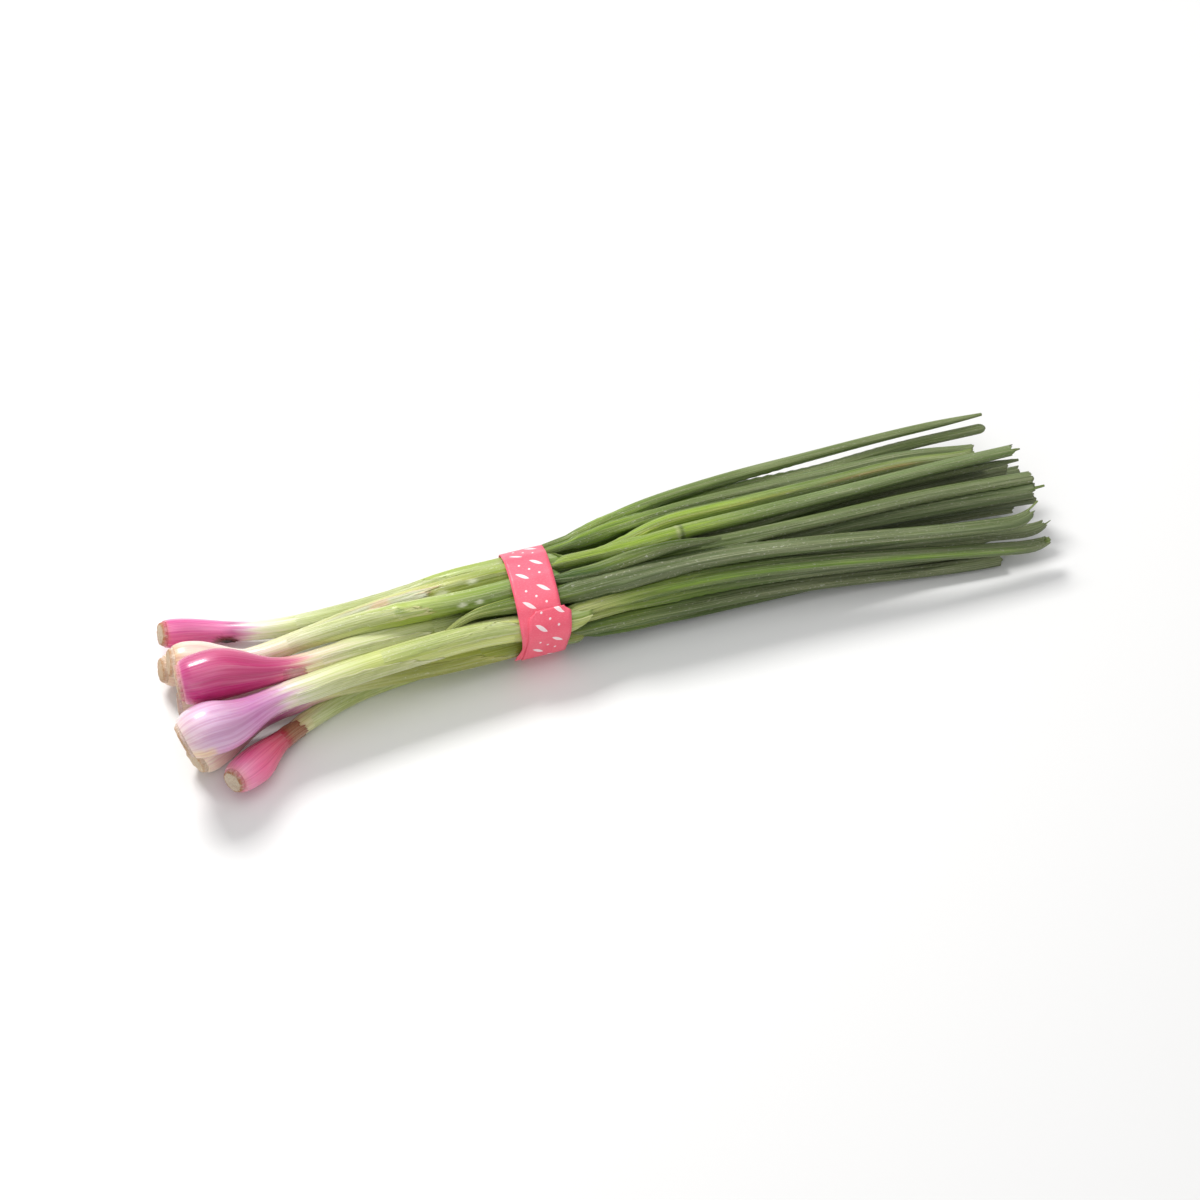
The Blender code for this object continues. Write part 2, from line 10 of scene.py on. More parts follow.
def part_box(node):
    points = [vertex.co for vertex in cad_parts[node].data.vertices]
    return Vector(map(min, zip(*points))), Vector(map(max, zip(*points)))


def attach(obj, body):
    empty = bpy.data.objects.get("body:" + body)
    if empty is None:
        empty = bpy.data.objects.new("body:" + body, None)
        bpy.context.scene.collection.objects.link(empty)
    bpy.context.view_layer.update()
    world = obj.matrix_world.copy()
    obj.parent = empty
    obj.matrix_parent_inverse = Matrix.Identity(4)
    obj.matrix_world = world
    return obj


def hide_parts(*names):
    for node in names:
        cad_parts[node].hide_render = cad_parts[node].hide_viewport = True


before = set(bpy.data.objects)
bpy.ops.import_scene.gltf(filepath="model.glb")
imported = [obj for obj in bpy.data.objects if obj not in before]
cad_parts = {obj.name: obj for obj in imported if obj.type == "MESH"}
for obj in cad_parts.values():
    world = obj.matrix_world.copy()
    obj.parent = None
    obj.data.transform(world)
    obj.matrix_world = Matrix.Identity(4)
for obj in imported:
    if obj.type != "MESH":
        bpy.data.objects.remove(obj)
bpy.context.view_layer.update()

# Camera, floor and light. The bunch lies on a plain pale surface, under a soft light from above and
# behind, which puts the small highlights on top of the bulbs. The camera looks down at 52 degrees.
ELEVATION = math.radians(52.0)
AZIMUTH = math.radians(17.0)
DISTANCE = 1.30
PIXELS_PER_METRE = 2095.0
SENSOR = 36.0
IMAGE = 1200.0
AIM = Vector((0.0042, 0.0, 0.022))
AIM_PIXEL = (540.0, 598.0)
WORLD_LIGHT = 0.40
FLOOR = 4.0
FLOOR_SHADE = 0.86


def add_object(name, data):
    """An object in the scene that shows a mesh, a lamp or a camera."""
    thing = bpy.data.objects.new(name, data)
    bpy.context.scene.collection.objects.link(thing)
    return thing


def make_camera():
    """The camera, turned and placed so that the band lies at its place in the picture."""
    se, ce, sa, ca = math.sin(ELEVATION), math.cos(ELEVATION), math.sin(AZIMUTH), math.cos(AZIMUTH)
    right = Vector((ca, -sa, 0.0))
    up = Vector((sa * se, ca * se, ce))
    forward = Vector((sa * ce, ca * ce, -se))
    focal = PIXELS_PER_METRE * DISTANCE
    ray = forward + right * (AIM_PIXEL[0] - IMAGE / 2) / focal - up * (AIM_PIXEL[1] - IMAGE / 2) / focal
    data = bpy.data.cameras.new("camera")
    data.sensor_width = SENSOR
    data.lens = focal / IMAGE * SENSOR
    camera = add_object("camera", data)
    turn = Matrix((right, up, -forward)).transposed()
    camera.matrix_world = Matrix.Translation(AIM - ray * DISTANCE) @ turn.to_4x4()
    bpy.context.scene.camera = camera


def make_area(name, place, target, size, power, colour):
    """A soft rectangular lamp at a place, facing a target."""
    data = bpy.data.lights.new(name, "AREA")
    data.shape = "RECTANGLE"
    data.size, data.size_y = size
    data.energy = power
    data.color = colour
    lamp = add_object(name, data)
    lamp.location = place
    lamp.rotation_mode = "QUATERNION"
    lamp.rotation_quaternion = (Vector(target) - Vector(place)).to_track_quat("-Z", "Y")


def new_material(name):
    """An empty node material and its principled shader."""
    material = bpy.data.materials.new(name)
    material.use_nodes = True
    tree = material.node_tree
    return material, tree, tree.nodes["Principled BSDF"]


def linear(r, g, b):
    """A colour given as 0 to 255 screen values, as scene values."""
    return tuple(((v / 255.0 + 0.055) / 1.055) ** 2.4 if v > 10 else v / 255.0 / 12.92 for v in (r, g, b))


make_camera()
make_area("key", (-0.30, 0.95, 1.20), (-0.05, 0.0, 0.0), (0.50, 0.40), 19.0, (1.0, 0.99, 0.97))
make_area("top", (0.1, -0.1, 1.5), (0.0, 0.0, 0.0), (1.6, 1.3), 7.5, (1.0, 1.0, 1.0))
make_area("fill", (-0.7, -1.2, 0.7), (0.0, 0.0, 0.02), (1.0, 0.8), 3.2, (0.99, 0.99, 1.0))

world = bpy.data.worlds.new("studio")
world.use_nodes = True
world.node_tree.nodes["Background"].inputs["Color"].default_value = (1.0, 1.0, 1.0, 1.0)
world.node_tree.nodes["Background"].inputs["Strength"].default_value = WORLD_LIGHT
bpy.context.scene.world = world
bpy.context.scene.view_settings.view_transform = "Standard"

floor_mesh = bpy.data.meshes.new("floor")
floor_mesh.from_pydata([(-FLOOR, -FLOOR, 0), (FLOOR, -FLOOR, 0), (FLOOR, FLOOR, 0), (-FLOOR, FLOOR, 0)],
                       [], [(0, 1, 2, 3)])
floor_material, _, floor_shader = new_material("floor")
floor_shader.inputs["Base Color"].default_value = (FLOOR_SHADE, FLOOR_SHADE, FLOOR_SHADE, 1.0)
floor_shader.inputs["Roughness"].default_value = 0.7
floor_mesh.materials.append(floor_material)
add_object("floor", floor_mesh)

# Shapes shared by all plants. Each plant's middle line and thickness are read from its CAD nodes, and
# everything that grows there is lofted along that line with finer rings.
MM = 0.001
FLOOR_CLEAR = 0.0002
FEWEST_POINTS = 6
FOOT_RUNS = (0.0017, 0.003, 0.0045, 0.006, 0.0075)
FOOT_CLEAR = 0.012
SECTION_INSET = 0.0005
FIRST_SECTIONS = 40
SECTION_HALF = 0.016


def hull(points):
    """The convex outline of flat points."""
    points = sorted(map(tuple, points))
    outline = []
    for run in (points, points[::-1]):
        side = []
        for p in run:
            while len(side) > 1:
                (ay, az), (by, bz) = side[-2], side[-1]
                if (by - ay) * (p[1] - az) - (bz - az) * (p[0] - ay) > 0:
                    break
                side.pop()
            side.append(p)
        outline += side[:-1]
    return np.array(outline)


def middle_and_radius(flat):
    """The centroid and the equal-area radius of a section's flat points."""
    a = hull(flat)
    b = np.roll(a, -1, axis=0)
    cross = a[:, 0] * b[:, 1] - b[:, 0] * a[:, 1]
    area = cross.sum() / 2
    centre = ((a + b) * cross[:, None]).sum(axis=0) / (6 * area)
    return centre, math.sqrt(abs(area) / math.pi)


def unit(v):
    """The same directions with a length of one."""
    return v / np.linalg.norm(v, axis=-1, keepdims=True)


def cut(points, ends, place, normal, reach):
    """The middle and the radius of the section where a plane cuts a mesh near a place."""
    height = (points - place) @ normal
    a, b = height[ends[:, 0]], height[ends[:, 1]]
    crossing = a * b < 0
    share = (a[crossing] / (a[crossing] - b[crossing]))[:, None]
    found = points[ends[crossing, 0]] * (1 - share) + points[ends[crossing, 1]] * share
    found = found[np.linalg.norm(found - place, axis=1) < reach]
    if len(found) < FEWEST_POINTS:
        return None
    side = unit(np.cross(normal, (0, 0, 1)))
    up = np.cross(side, normal)
    flat = np.column_stack([(found - place) @ side, (found - place) @ up])
    centre, radius = middle_and_radius(flat)
    return place + side * centre[0] + up * centre[1], radius


def corners(name):
    """The corners of a CAD node."""
    return np.array([v.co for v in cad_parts[name].data.vertices])


def foot_of(n):
    """The middle of a plant's root plate and the direction in which its bulb starts."""
    plate = corners(f"onion_{n}_root_plate")
    middle = plate.mean(axis=0)
    thin = np.linalg.svd(plate - middle)[2][2]
    return middle, thin * np.sign(thin[0])


def middle_line(names, foot=None, step=0.002, reach=0.03):
    """Middle points and radii along CAD nodes that follow each other, square to the line itself."""
    points, ends, count = [], [], 0
    for name in names:
        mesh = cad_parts[name].data
        points += [tuple(v.co) for v in mesh.vertices]
        ends += [(e.vertices[0] + count, e.vertices[1] + count) for e in mesh.edges]
        count = len(points)
    points, ends = np.array(points), np.array(ends)
    low, high = points[:, 0].min(), points[:, 0].max()
    line = [] if foot is None else [foot[0] + foot[1] * t for t in FOOT_RUNS]
    first = low + SECTION_INSET if foot is None else line[-1][0] + FOOT_CLEAR
    for x in np.linspace(first, high - SECTION_INSET, FIRST_SECTIONS):
        near = points[np.abs(points[:, 0] - x) < SECTION_HALF]
        found = cut(points, ends, np.array([x, near[:, 1].mean(), near[:, 2].mean()]),
                    np.array([1.0, 0.0, 0.0]), 1.0)
        if found:
            line.append(found[0])
    line = np.array(line)
    for _ in range(3):
        line = evenly(line, step)
        normals = unit(np.gradient(line, axis=0))
        straight = np.zeros(len(line), bool)
        if foot is not None:
            ahead = (line - foot[0]) @ foot[1]
            straight = ahead < FOOT_RUNS[-1]
            line[straight] = foot[0] + ahead[straight, None] * foot[1]
            normals[straight] = foot[1]
        sections = [cut(points, ends, p, n, reach) for p, n in zip(line, normals)]
        kept = [(p if keep else s[0], s[1]) for p, keep, s in zip(line, straight, sections) if s]
        line = np.array([k[0] for k in kept])
        radii = np.array([k[1] for k in kept])
    before = unit(line[1] - line[0]) if foot is None else foot[1]
    after = unit(line[-1] - line[-2])
    near = np.linalg.norm(points - line[0], axis=1) < reach
    back = ((points[near] - line[0]) @ before).min()
    ahead = ((points - line[-1]) @ after).max()
    line = np.vstack([line[0] + before * back, line, line[-1] + after * ahead])
    radii = np.concatenate([radii[:1], radii, radii[-1:]])
    return line, radii


def lengths(line):
    """How far along a line each of its points is."""
    return np.concatenate([[0.0], np.cumsum(np.linalg.norm(np.diff(line, axis=0), axis=1))])


def between(marks, run, values):
    """Points, directions or colours at marks, between those listed at the places in run."""
    return np.stack([np.interp(marks, run, values[:, i]) for i in range(3)], axis=-1)


def evenly(line, step):
    """The same line with points at even steps."""
    run = lengths(line)
    return between(np.linspace(0, run[-1], max(4, int(run[-1] / step) + 1)), run, line)


def smooth(values, passes):
    """Values along a line, eased towards their neighbours, with both ends kept."""
    values = np.array(values, float)
    for _ in range(passes):
        values[1:-1] = 0.25 * values[:-2] + 0.5 * values[1:-1] + 0.25 * values[2:]
    return values


def smoothstep(a, b, x):
    """From 0 at a to 1 at b, eased at both ends."""
    t = np.clip((np.asarray(x, float) - a) / (b - a), 0.0, 1.0)
    return t * t * (3 - 2 * t)


class Line:
    """A strand's middle line with its thickness, and the frame of a ring at any run along it."""

    def __init__(self, run, points, radii):
        self.run, self.points, self.radii = run, points, radii

    def at(self, s):
        """The middle, the outward directions up and to the front, and the radius at a run."""
        s = np.atleast_1d(np.asarray(s, float))
        inside = np.clip(s, self.run[0], self.run[-1])
        slope = unit(np.gradient(self.points, self.run, axis=0))
        ahead = unit(between(inside, self.run, slope))
        points = between(inside, self.run, self.points) + ahead * (s - inside)[:, None]
        front = unit(np.cross(ahead, (0, 0, 1)))
        up = np.cross(front, ahead)
        return points, up, front, ahead, np.interp(inside, self.run, self.radii)

    def run_at_x(self, x):
        """The run at which the line passes a place along the bunch."""
        return float(np.interp(x, self.points[:, 0], self.run))


def line_along(names, step, foot=None):
    """The line of CAD nodes that follow each other, smoothed and at even steps."""
    line, radii = middle_line(names, foot)
    run = lengths(line)
    marks = np.linspace(0, run[-1], int(run[-1] / step) + 1)
    return Line(marks, smooth(between(marks, run, line), 4), smooth(np.interp(marks, run, radii), 2))


def outward(angles, up, front):
    """The directions out of a line at angles, for each of its rings."""
    return np.cos(angles)[..., None] * up[:, None, :] + np.sin(angles)[..., None] * front[:, None, :]


def surface(line, runs, angles, radii, shift=None):
    """Points round a line: runs, radii and shift along it are given for each ring and each angle."""
    runs = np.asarray(runs, float)
    radii = np.broadcast_to(np.asarray(radii, float), (len(runs), len(angles)))
    shift = np.zeros_like(radii) if shift is None else np.broadcast_to(shift, radii.shape)
    points, up, front, ahead, _ = line.at(runs)
    out = outward(angles, up, front) * radii[:, :, None]
    return points[:, None, :] + out + ahead[:, None, :] * shift[:, :, None]


def rings_faces(rings, count, flip=False):
    """The faces between closed rings of count points each."""
    faces = []
    for i in range(rings - 1):
        for j in range(count):
            a, b = i * count + j, i * count + (j + 1) % count
            quad = (a, b, b + count, a + count)
            faces.append(quad[::-1] if flip else quad)
    return faces


def make_piece(name, points, faces, tint, strand, material, replaced=(), sharp_rings=()):
    """A mesh with its colours and its place along the plant, riding on the bunch."""
    mesh = bpy.data.meshes.new(name)
    mesh.from_pydata([tuple(p) for p in points], [], faces)
    colours = mesh.attributes.new("tint", "FLOAT_COLOR", "POINT")
    tint = np.asarray(tint, float)
    if tint.shape[1] == 3:
        tint = np.column_stack([tint, np.ones(len(tint))])
    colours.data.foreach_set("color", tint.ravel())
    places = mesh.attributes.new("strand", "FLOAT_VECTOR", "POINT")
    places.data.foreach_set("vector", np.asarray(strand, float).ravel())
    mesh.validate()
    mesh.polygons.foreach_set("use_smooth", [True] * len(mesh.polygons))
    mesh.materials.append(material)
    sharp = set(sharp_rings)
    if sharp:
        for e in mesh.edges:
            if e.vertices[0] in sharp and e.vertices[1] in sharp:
                e.use_edge_sharp = True
    piece = add_object(name, mesh)
    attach(piece, "root")
    if replaced:
        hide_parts(*replaced)


def make_tube(name, rings, start, tints, marks, material, replaced,
              sharp_rings=(), flip=False, lowest=None):
    """A piece lofted through rings of points, and closed at both ends."""
    sides = len(rings[0])
    total = len(rings) * sides
    points = np.concatenate([np.array(rings).reshape(-1, 3), [start, rings[-1].mean(axis=0)]])
    if lowest is not None:
        points[:, 2] = np.maximum(points[:, 2], lowest)
    around = [(j, (j + 1) % sides) for j in range(sides)]
    if flip:
        around = [(k, j) for j, k in around]
    faces = rings_faces(len(rings), sides, flip)
    faces += [(total, k, j) for j, k in around]
    faces += [(total + 1, total - sides + j, total - sides + k) for j, k in around]
    colours = np.concatenate([np.array(tints).reshape(total, -1), [tints[0][0], tints[-1][0]]])
    places = np.concatenate([np.array(marks).reshape(-1, 3), [marks[0][0], marks[-1][0]]])
    make_piece(name, points, faces, colours, places, material, replaced, sharp_rings)


def turned_to(angles, towards):
    """One at the angle towards, and nothing on the far side from it."""
    return 0.5 + 0.5 * np.cos(angles - towards)


def hump(away, width):
    """One in the middle, and falling off on both sides over a width."""
    return np.exp(-(away / width) ** 2)


def wrapped(angles):
    """The same angles between minus and plus half a turn."""
    return (angles + math.pi) % (2 * math.pi) - math.pi


def mix(a, b, t):
    """Between two colours, or arrays of them."""
    t = np.asarray(t, float)[..., None]
    return np.asarray(a) * (1 - t) + np.asarray(b) * t


def wavy(seed, x, y=0.0):
    """A smooth pattern between -1 and 1, the same each time."""
    x, y = np.asarray(x, float), np.asarray(y, float)
    total = 0.0
    rnd = random.Random(seed)
    for i in range(5):
        f = 1.0 + 1.3 * i
        turned = f * x + rnd.uniform(0, 6.3) + rnd.uniform(0.4, 1.3) * y * (i + 1)
        total = total + math.pow(0.75, i) * np.sin(turned)
    return total / 3.05


PLANTS = {
    1: {"leaves": 3, "mouth": 0.008}, 2: {"leaves": 3, "mouth": 0.006}, 3: {"leaves": 4, "mouth": 0.005},
    4: {"leaves": 3, "mouth": 0.008}, 5: {"leaves": 2, "mouth": 0.008}, 6: {"leaves": 2, "mouth": 0.010},
    7: {"leaves": 2, "mouth": 0.014}, 8: {"leaves": 3, "mouth": 0.010},
}
bodies = {n: line_along([f"onion_{n}_bulb", f"onion_{n}_stem"], 0.0015, foot_of(n)) for n in PLANTS}
leaves = {(n, m): line_along([f"onion_{n}_leaf_{m}"], 0.003)
          for n in PLANTS for m in range(1, PLANTS[n]["leaves"] + 1)}

# The strands next to a strand: soft stems and leaves that are tied together press against each other,
# so each surface is drawn out halfway to its neighbour.
strands = [("body", n, line) for n, line in bodies.items()]
strands += [("leaf", key, line) for key, line in leaves.items()]
SNUG_SOLID = 0.0010
SNUG_FREE = 0.0030
SNUG_OVERLAP = 0.00012
# Painted shade: surfaces are darkened where they come close to a neighbouring strand.
CREASE_SHADE_GAPS = (-0.0004, 0.0022)


def gap_to_others(points, own):
    """How far each point is from the nearest strand that isn't in own."""
    points = np.asarray(points, float)
    gap = np.full(len(points), 1.0)
    low, high = points.min(axis=0) - 0.01, points.max(axis=0) + 0.01
    for kind, key, line in strands:
        if (kind, key) in own:
            continue
        thick = line.radii.max()
        near = np.all((line.points > low - thick) & (line.points < high + thick), axis=1)
        if not near.any():
            continue
        middles, radii = line.points[near][::2], line.radii[near][::2]
        away = np.linalg.norm(points[:, None, :] - middles[None, :, :], axis=2)
        nearest = away.argmin(axis=1)
        gap = np.minimum(gap, away[np.arange(len(points)), nearest] - radii[nearest])
    return gap


def snug(grid, middles, own, most, free=SNUG_FREE):
    """Rings of points drawn out towards the strands beside them, and kept above the surface."""
    flat = grid.reshape(-1, 3)
    gap = gap_to_others(flat, own).reshape(grid.shape[:2])
    reach = smoothstep(0.0, 1.0, (gap - SNUG_SOLID) / (np.reshape(free, (-1, 1)) - SNUG_SOLID))
    grow = (0.5 * np.maximum(gap, -0.001) + SNUG_OVERLAP) * (1 - reach)
    most = np.broadcast_to(np.reshape(most, (-1, 1)), grow.shape)
    grow = np.clip(grow, -most, most)
    out = unit(grid - middles[:, None, :])
    grid = grid + out * grow[:, :, None]
    grid[:, :, 2] = np.maximum(grid[:, :, 2], FLOOR_CLEAR)
    return grid, gap


def crease_shade(gap, depth):
    """The painted shade where a surface meets its neighbours, as a factor on its colour."""
    deep = 1 - smoothstep(*CREASE_SHADE_GAPS, gap)
    return 1 - (deep[..., None] * np.asarray(depth))


def strand_places(runs, angles, seed, shift):
    """The place of each ring point along the plant, for the materials."""
    along = np.broadcast_to(runs[:, None], (len(runs), len(angles))) + 3.7 * seed + shift
    around = np.broadcast_to(angles[None, :], along.shape)
    return np.stack([np.cos(around), np.sin(around), along], axis=-1)


# Bulbs and stems. A bulb and its stem are one body of wrapped leaf sheaths: a thin coloured skin, glossy
# and wet, that fades over a white neck into the pale green stem. The stem ends in an open slanting mouth.
BODY_SIDES = 40
BULB_STEP = 0.0012
STEM_STEP = 0.0025
MOUTH_STEP = 0.0015
MOUTH_LENGTH = 0.016
LIP_WALL = 0.0003
LIP_DEPTH = 0.010
LIP_RAGGED = 0.0008
SNUG_BULB = 0.0002
SNUG_STEM = 0.0009
BODY_CREASE_SHADE = (0.70, 0.55, 0.80)
MOUTH_GREEN = (96, 126, 46)
LIP_GREEN = (130, 156, 66)
BULB_LOOKS = {
    1: {"stops": [(0, (222, 100, 128)), (1.5, (230, 86, 160)), (28, (228, 98, 168)),
                  (34, (196, 88, 150)), (39, (226, 176, 206)), (44, (246, 240, 232)), (70, (212, 218, 158)),
                  (110, (180, 194, 104)), (150, (164, 182, 82)), (185, (146, 170, 62)), (210, (96, 130, 56))],
        "spots": [(30, 106, 4.2, (120, 24, 44)), (31, 112, 2.2, (34, 8, 12))],
        "lit": 0.2, "mouth": 150, "slant": 9},
    2: {"stops": [(0, (232, 196, 152)), (5, (244, 222, 202)), (40, (244, 230, 214)), (70, (222, 222, 170)),
                  (110, (176, 192, 92)), (150, (134, 158, 58)), (185, (84, 116, 40)), (210, (76, 110, 44))],
        "swell": [(108, 20, 3.0, 0.12)],
        "spots": [(138, 58, 1.3, (236, 236, 214)), (146, 60, 1.1, (240, 240, 222)),
                  (109, 28, 1.6, (150, 168, 70))],
        "mouth": 60, "slant": 10},
    3: {"stops": [(0, (232, 160, 170)), (1.2, (206, 66, 138)), (4, (200, 34, 122)), (20, (196, 18, 108)),
                  (40, (196, 34, 112)), (48, (206, 78, 128)), (54, (228, 156, 160)), (59, (236, 212, 196)),
                  (84, (210, 212, 166)), (120, (164, 172, 100)), (160, (120, 140, 56)), (190, (84, 114, 42)),
                  (210, (70, 104, 44))], "mouth": 90, "slant": 12},
    4: {"stops": [(0, (238, 214, 206)), (3, (230, 200, 212)), (10, (220, 178, 212)), (34, (208, 130, 190)),
                  (46, (214, 152, 196)), (52, (236, 214, 218)), (62, (228, 226, 190)), (92, (206, 212, 132)),
                  (160, (202, 208, 122)), (205, (200, 208, 124)), (225, (168, 190, 78)),
                  (240, (140, 172, 62))],
        "swell": [(12, 0, 10, 0.07)], "spots": [(2.5, 100, 5.5, (236, 206, 168))],
        "mouth": 10, "slant": 18},
    5: {"stops": [(0, (246, 226, 198)), (9, (246, 228, 208)), (28, (222, 176, 190)), (44, (186, 84, 146)),
                  (58, (206, 150, 176)), (74, (206, 204, 136)), (110, (178, 182, 76)), (160, (156, 162, 54)),
                  (200, (96, 124, 40)), (215, (72, 96, 40))], "mouth": 80, "slant": 12},
    6: {"stops": [(0, (232, 150, 164)), (3, (246, 140, 182)), (10, (244, 104, 156)), (24, (228, 76, 116)),
                  (34, (176, 44, 58)), (39, (186, 110, 76)), (42, (214, 200, 150)), (54, (224, 228, 176)),
                  (90, (196, 206, 124)), (180, (150, 170, 74)), (210, (80, 110, 46))],
        "swell": [(16, 120, 9, 0.16)], "mouth": 80, "slant": 9},
    7: {"stops": [(0, (232, 200, 158)), (6, (240, 214, 192)), (34, (240, 220, 206)), (60, (232, 228, 184)),
                  (90, (204, 208, 132)), (130, (184, 184, 82)), (155, (148, 162, 38)), (185, (148, 172, 52)),
                  (200, (168, 190, 76)), (220, (160, 186, 66))],
        "spots": [(122, 60, 2.0, (214, 214, 180)), (129, 40, 1.8, (220, 220, 196)),
                  (137, 52, 2.2, (206, 208, 164)), (152, 30, 1.5, (210, 212, 176)),
                  (108, 20, 3.4, (226, 190, 160))],
        "mouth": 140, "slant": 18},
    8: {"stops": [(0, (230, 202, 172)), (8, (232, 206, 198)), (34, (222, 184, 190)), (60, (226, 224, 180)),
                  (110, (190, 202, 120)), (180, (150, 172, 74)), (210, (80, 110, 46))],
        "mouth": 0, "slant": 8},
}


def stops_colour(stops, along):
    """The colour at places along the plant, between the colours given at stops in millimetres."""
    marks = [a * MM for a, _ in stops]
    values = np.array([linear(*c) for _, c in stops])
    return between(along, marks, values)


fibre_group = bpy.data.node_groups.new("fibres", "ShaderNodeTree")
for socket in ("Fine", "Broad", "Speck", "Line", "Pale"):
    fibre_group.interface.new_socket(socket, in_out="OUTPUT", socket_type="NodeSocketFloat")


def add_node(tree, kind, **values):
    """A node with its settings and the values of its inputs."""
    node = tree.nodes.new(kind)
    for key, value in values.items():
        if key in node.inputs:
            node.inputs[key].default_value = value
        else:
            setattr(node, key, value)
    return node


def stretched_noise(tree, source, scale, detail):
    """A noise pattern on the place along the plant, stretched by a scale in each direction."""
    grow = add_node(tree, "ShaderNodeVectorMath", operation="MULTIPLY")
    grow.inputs[1].default_value = scale
    tree.links.new(source, grow.inputs[0])
    noise = add_node(tree, "ShaderNodeTexNoise", Scale=1.0, Detail=detail)
    tree.links.new(grow.outputs[0], noise.inputs["Vector"])
    return noise.outputs["Fac"]


def ramp(tree, source, low, high, to_low=0.0, to_high=1.0):
    """A value taken from one range to another, held at its ends."""
    node = add_node(tree, "ShaderNodeMapRange")
    node.interpolation_type = "SMOOTHSTEP"
    for key, value in (("From Min", low), ("From Max", high), ("To Min", to_low), ("To Max", to_high)):
        node.inputs[key].default_value = value
    tree.links.new(source, node.inputs["Value"])
    return node.outputs[0]


def mixed(tree, factor, a, b, blend="MIX"):
    """A colour mixed from two others; each may be a socket or a value."""
    node = add_node(tree, "ShaderNodeMix", data_type="RGBA", blend_type=blend)
    for value, socket in ((factor, node.inputs[0]), (a, node.inputs[6]), (b, node.inputs[7])):
        if isinstance(value, bpy.types.NodeSocket):
            tree.links.new(value, socket)
        else:
            socket.default_value = value
    return node.outputs[2]


def roughen(tree, shader, height, strength, distance):
    """Small bumps on a surface, from a height pattern."""
    node = add_node(tree, "ShaderNodeBump", Strength=strength, Distance=distance)
    tree.links.new(height, node.inputs["Height"])
    tree.links.new(node.outputs["Normal"], shader.inputs["Normal"])


def math_node(tree, operation, a, b=0.0, c=0.0):
    """One step of arithmetic on sockets or values."""
    node = add_node(tree, "ShaderNodeMath", operation=operation)
    for value, socket in zip((a, b, c), node.inputs):
        if isinstance(value, bpy.types.NodeSocket):
            tree.links.new(value, socket)
        else:
            socket.default_value = value
    return node.outputs[0]


def shader_steps(tree):
    """The arithmetic, range and colour steps, each for one tree."""
    return partial(math_node, tree), partial(ramp, tree), partial(mixed, tree)


def fill_fibres():
    """Fills the shared fibre group: fine and broad streaks along the plant, specks, thin veins, painted
    highlight lines.
    """
    tree = fibre_group
    calc, fade, _ = shader_steps(tree)
    place = add_node(tree, "ShaderNodeAttribute", attribute_name="strand").outputs["Vector"]
    out = tree.nodes.new("NodeGroupOutput")
    tree.links.new(stretched_noise(tree, place, (11.0, 11.0, 28.0), 3.0), out.inputs["Fine"])
    tree.links.new(stretched_noise(tree, place, (2.6, 2.6, 11.0), 2.0), out.inputs["Broad"])
    tree.links.new(stretched_noise(tree, place, (5.0, 5.0, 620.0), 2.0), out.inputs["Speck"])
    contour = calc("SUBTRACT", stretched_noise(tree, place, (4.2, 4.2, 4.5), 1.0), 0.5)
    vein = fade(calc("ABSOLUTE", contour), 0.004, 0.020, 1.0, 0.0)
    tree.links.new(vein, out.inputs["Line"])
    # Lines just beside the veins, used for painted highlights.
    beside = calc("ABSOLUTE", calc("SUBTRACT", contour, 0.055))
    tree.links.new(fade(beside, 0.004, 0.024, 1.0, 0.0), out.inputs["Pale"])


fill_fibres()

SURFACES = {
    "skin": {"dark": (0.80, 0.58, 0.70), "pale": (0.93, 0.78, 0.82), "pale_share": 0.10, "streak": 0.55,
             "gloss": (0.24, 0.38), "coat": 0.42, "bump": 0.10, "speck": 0.0, "vein": 0.10},
    "sheath": {"dark": (0.72, 0.80, 0.46), "pale": (0.80, 0.82, 0.56), "pale_share": 0.26, "streak": 0.70,
               "gloss": (0.32, 0.48), "coat": 0.16, "bump": 0.36, "speck": 0.35, "vein": 0.34},
    "leaf": {"dark": (0.46, 0.56, 0.26), "pale": (0.29, 0.31, 0.17), "pale_share": 0.55, "streak": 0.85,
             "gloss": (0.34, 0.52), "coat": 0.10, "bump": 0.6, "speck": 0.6, "vein": 0.75},
    "plate": {"dark": (0.66, 0.52, 0.38), "pale": (0.88, 0.80, 0.66), "pale_share": 0.45, "streak": 0.55,
              "gloss": (0.62, 0.85), "coat": 0.0, "bump": 0.6, "speck": 0.2, "vein": 0.2},
    "film": {"dark": (0.70, 0.54, 0.46), "pale": (0.92, 0.84, 0.70), "pale_share": 0.25, "streak": 0.7,
             "gloss": (0.40, 0.60), "coat": 0.10, "bump": 0.35, "speck": 0.1, "vein": 0.3},
}


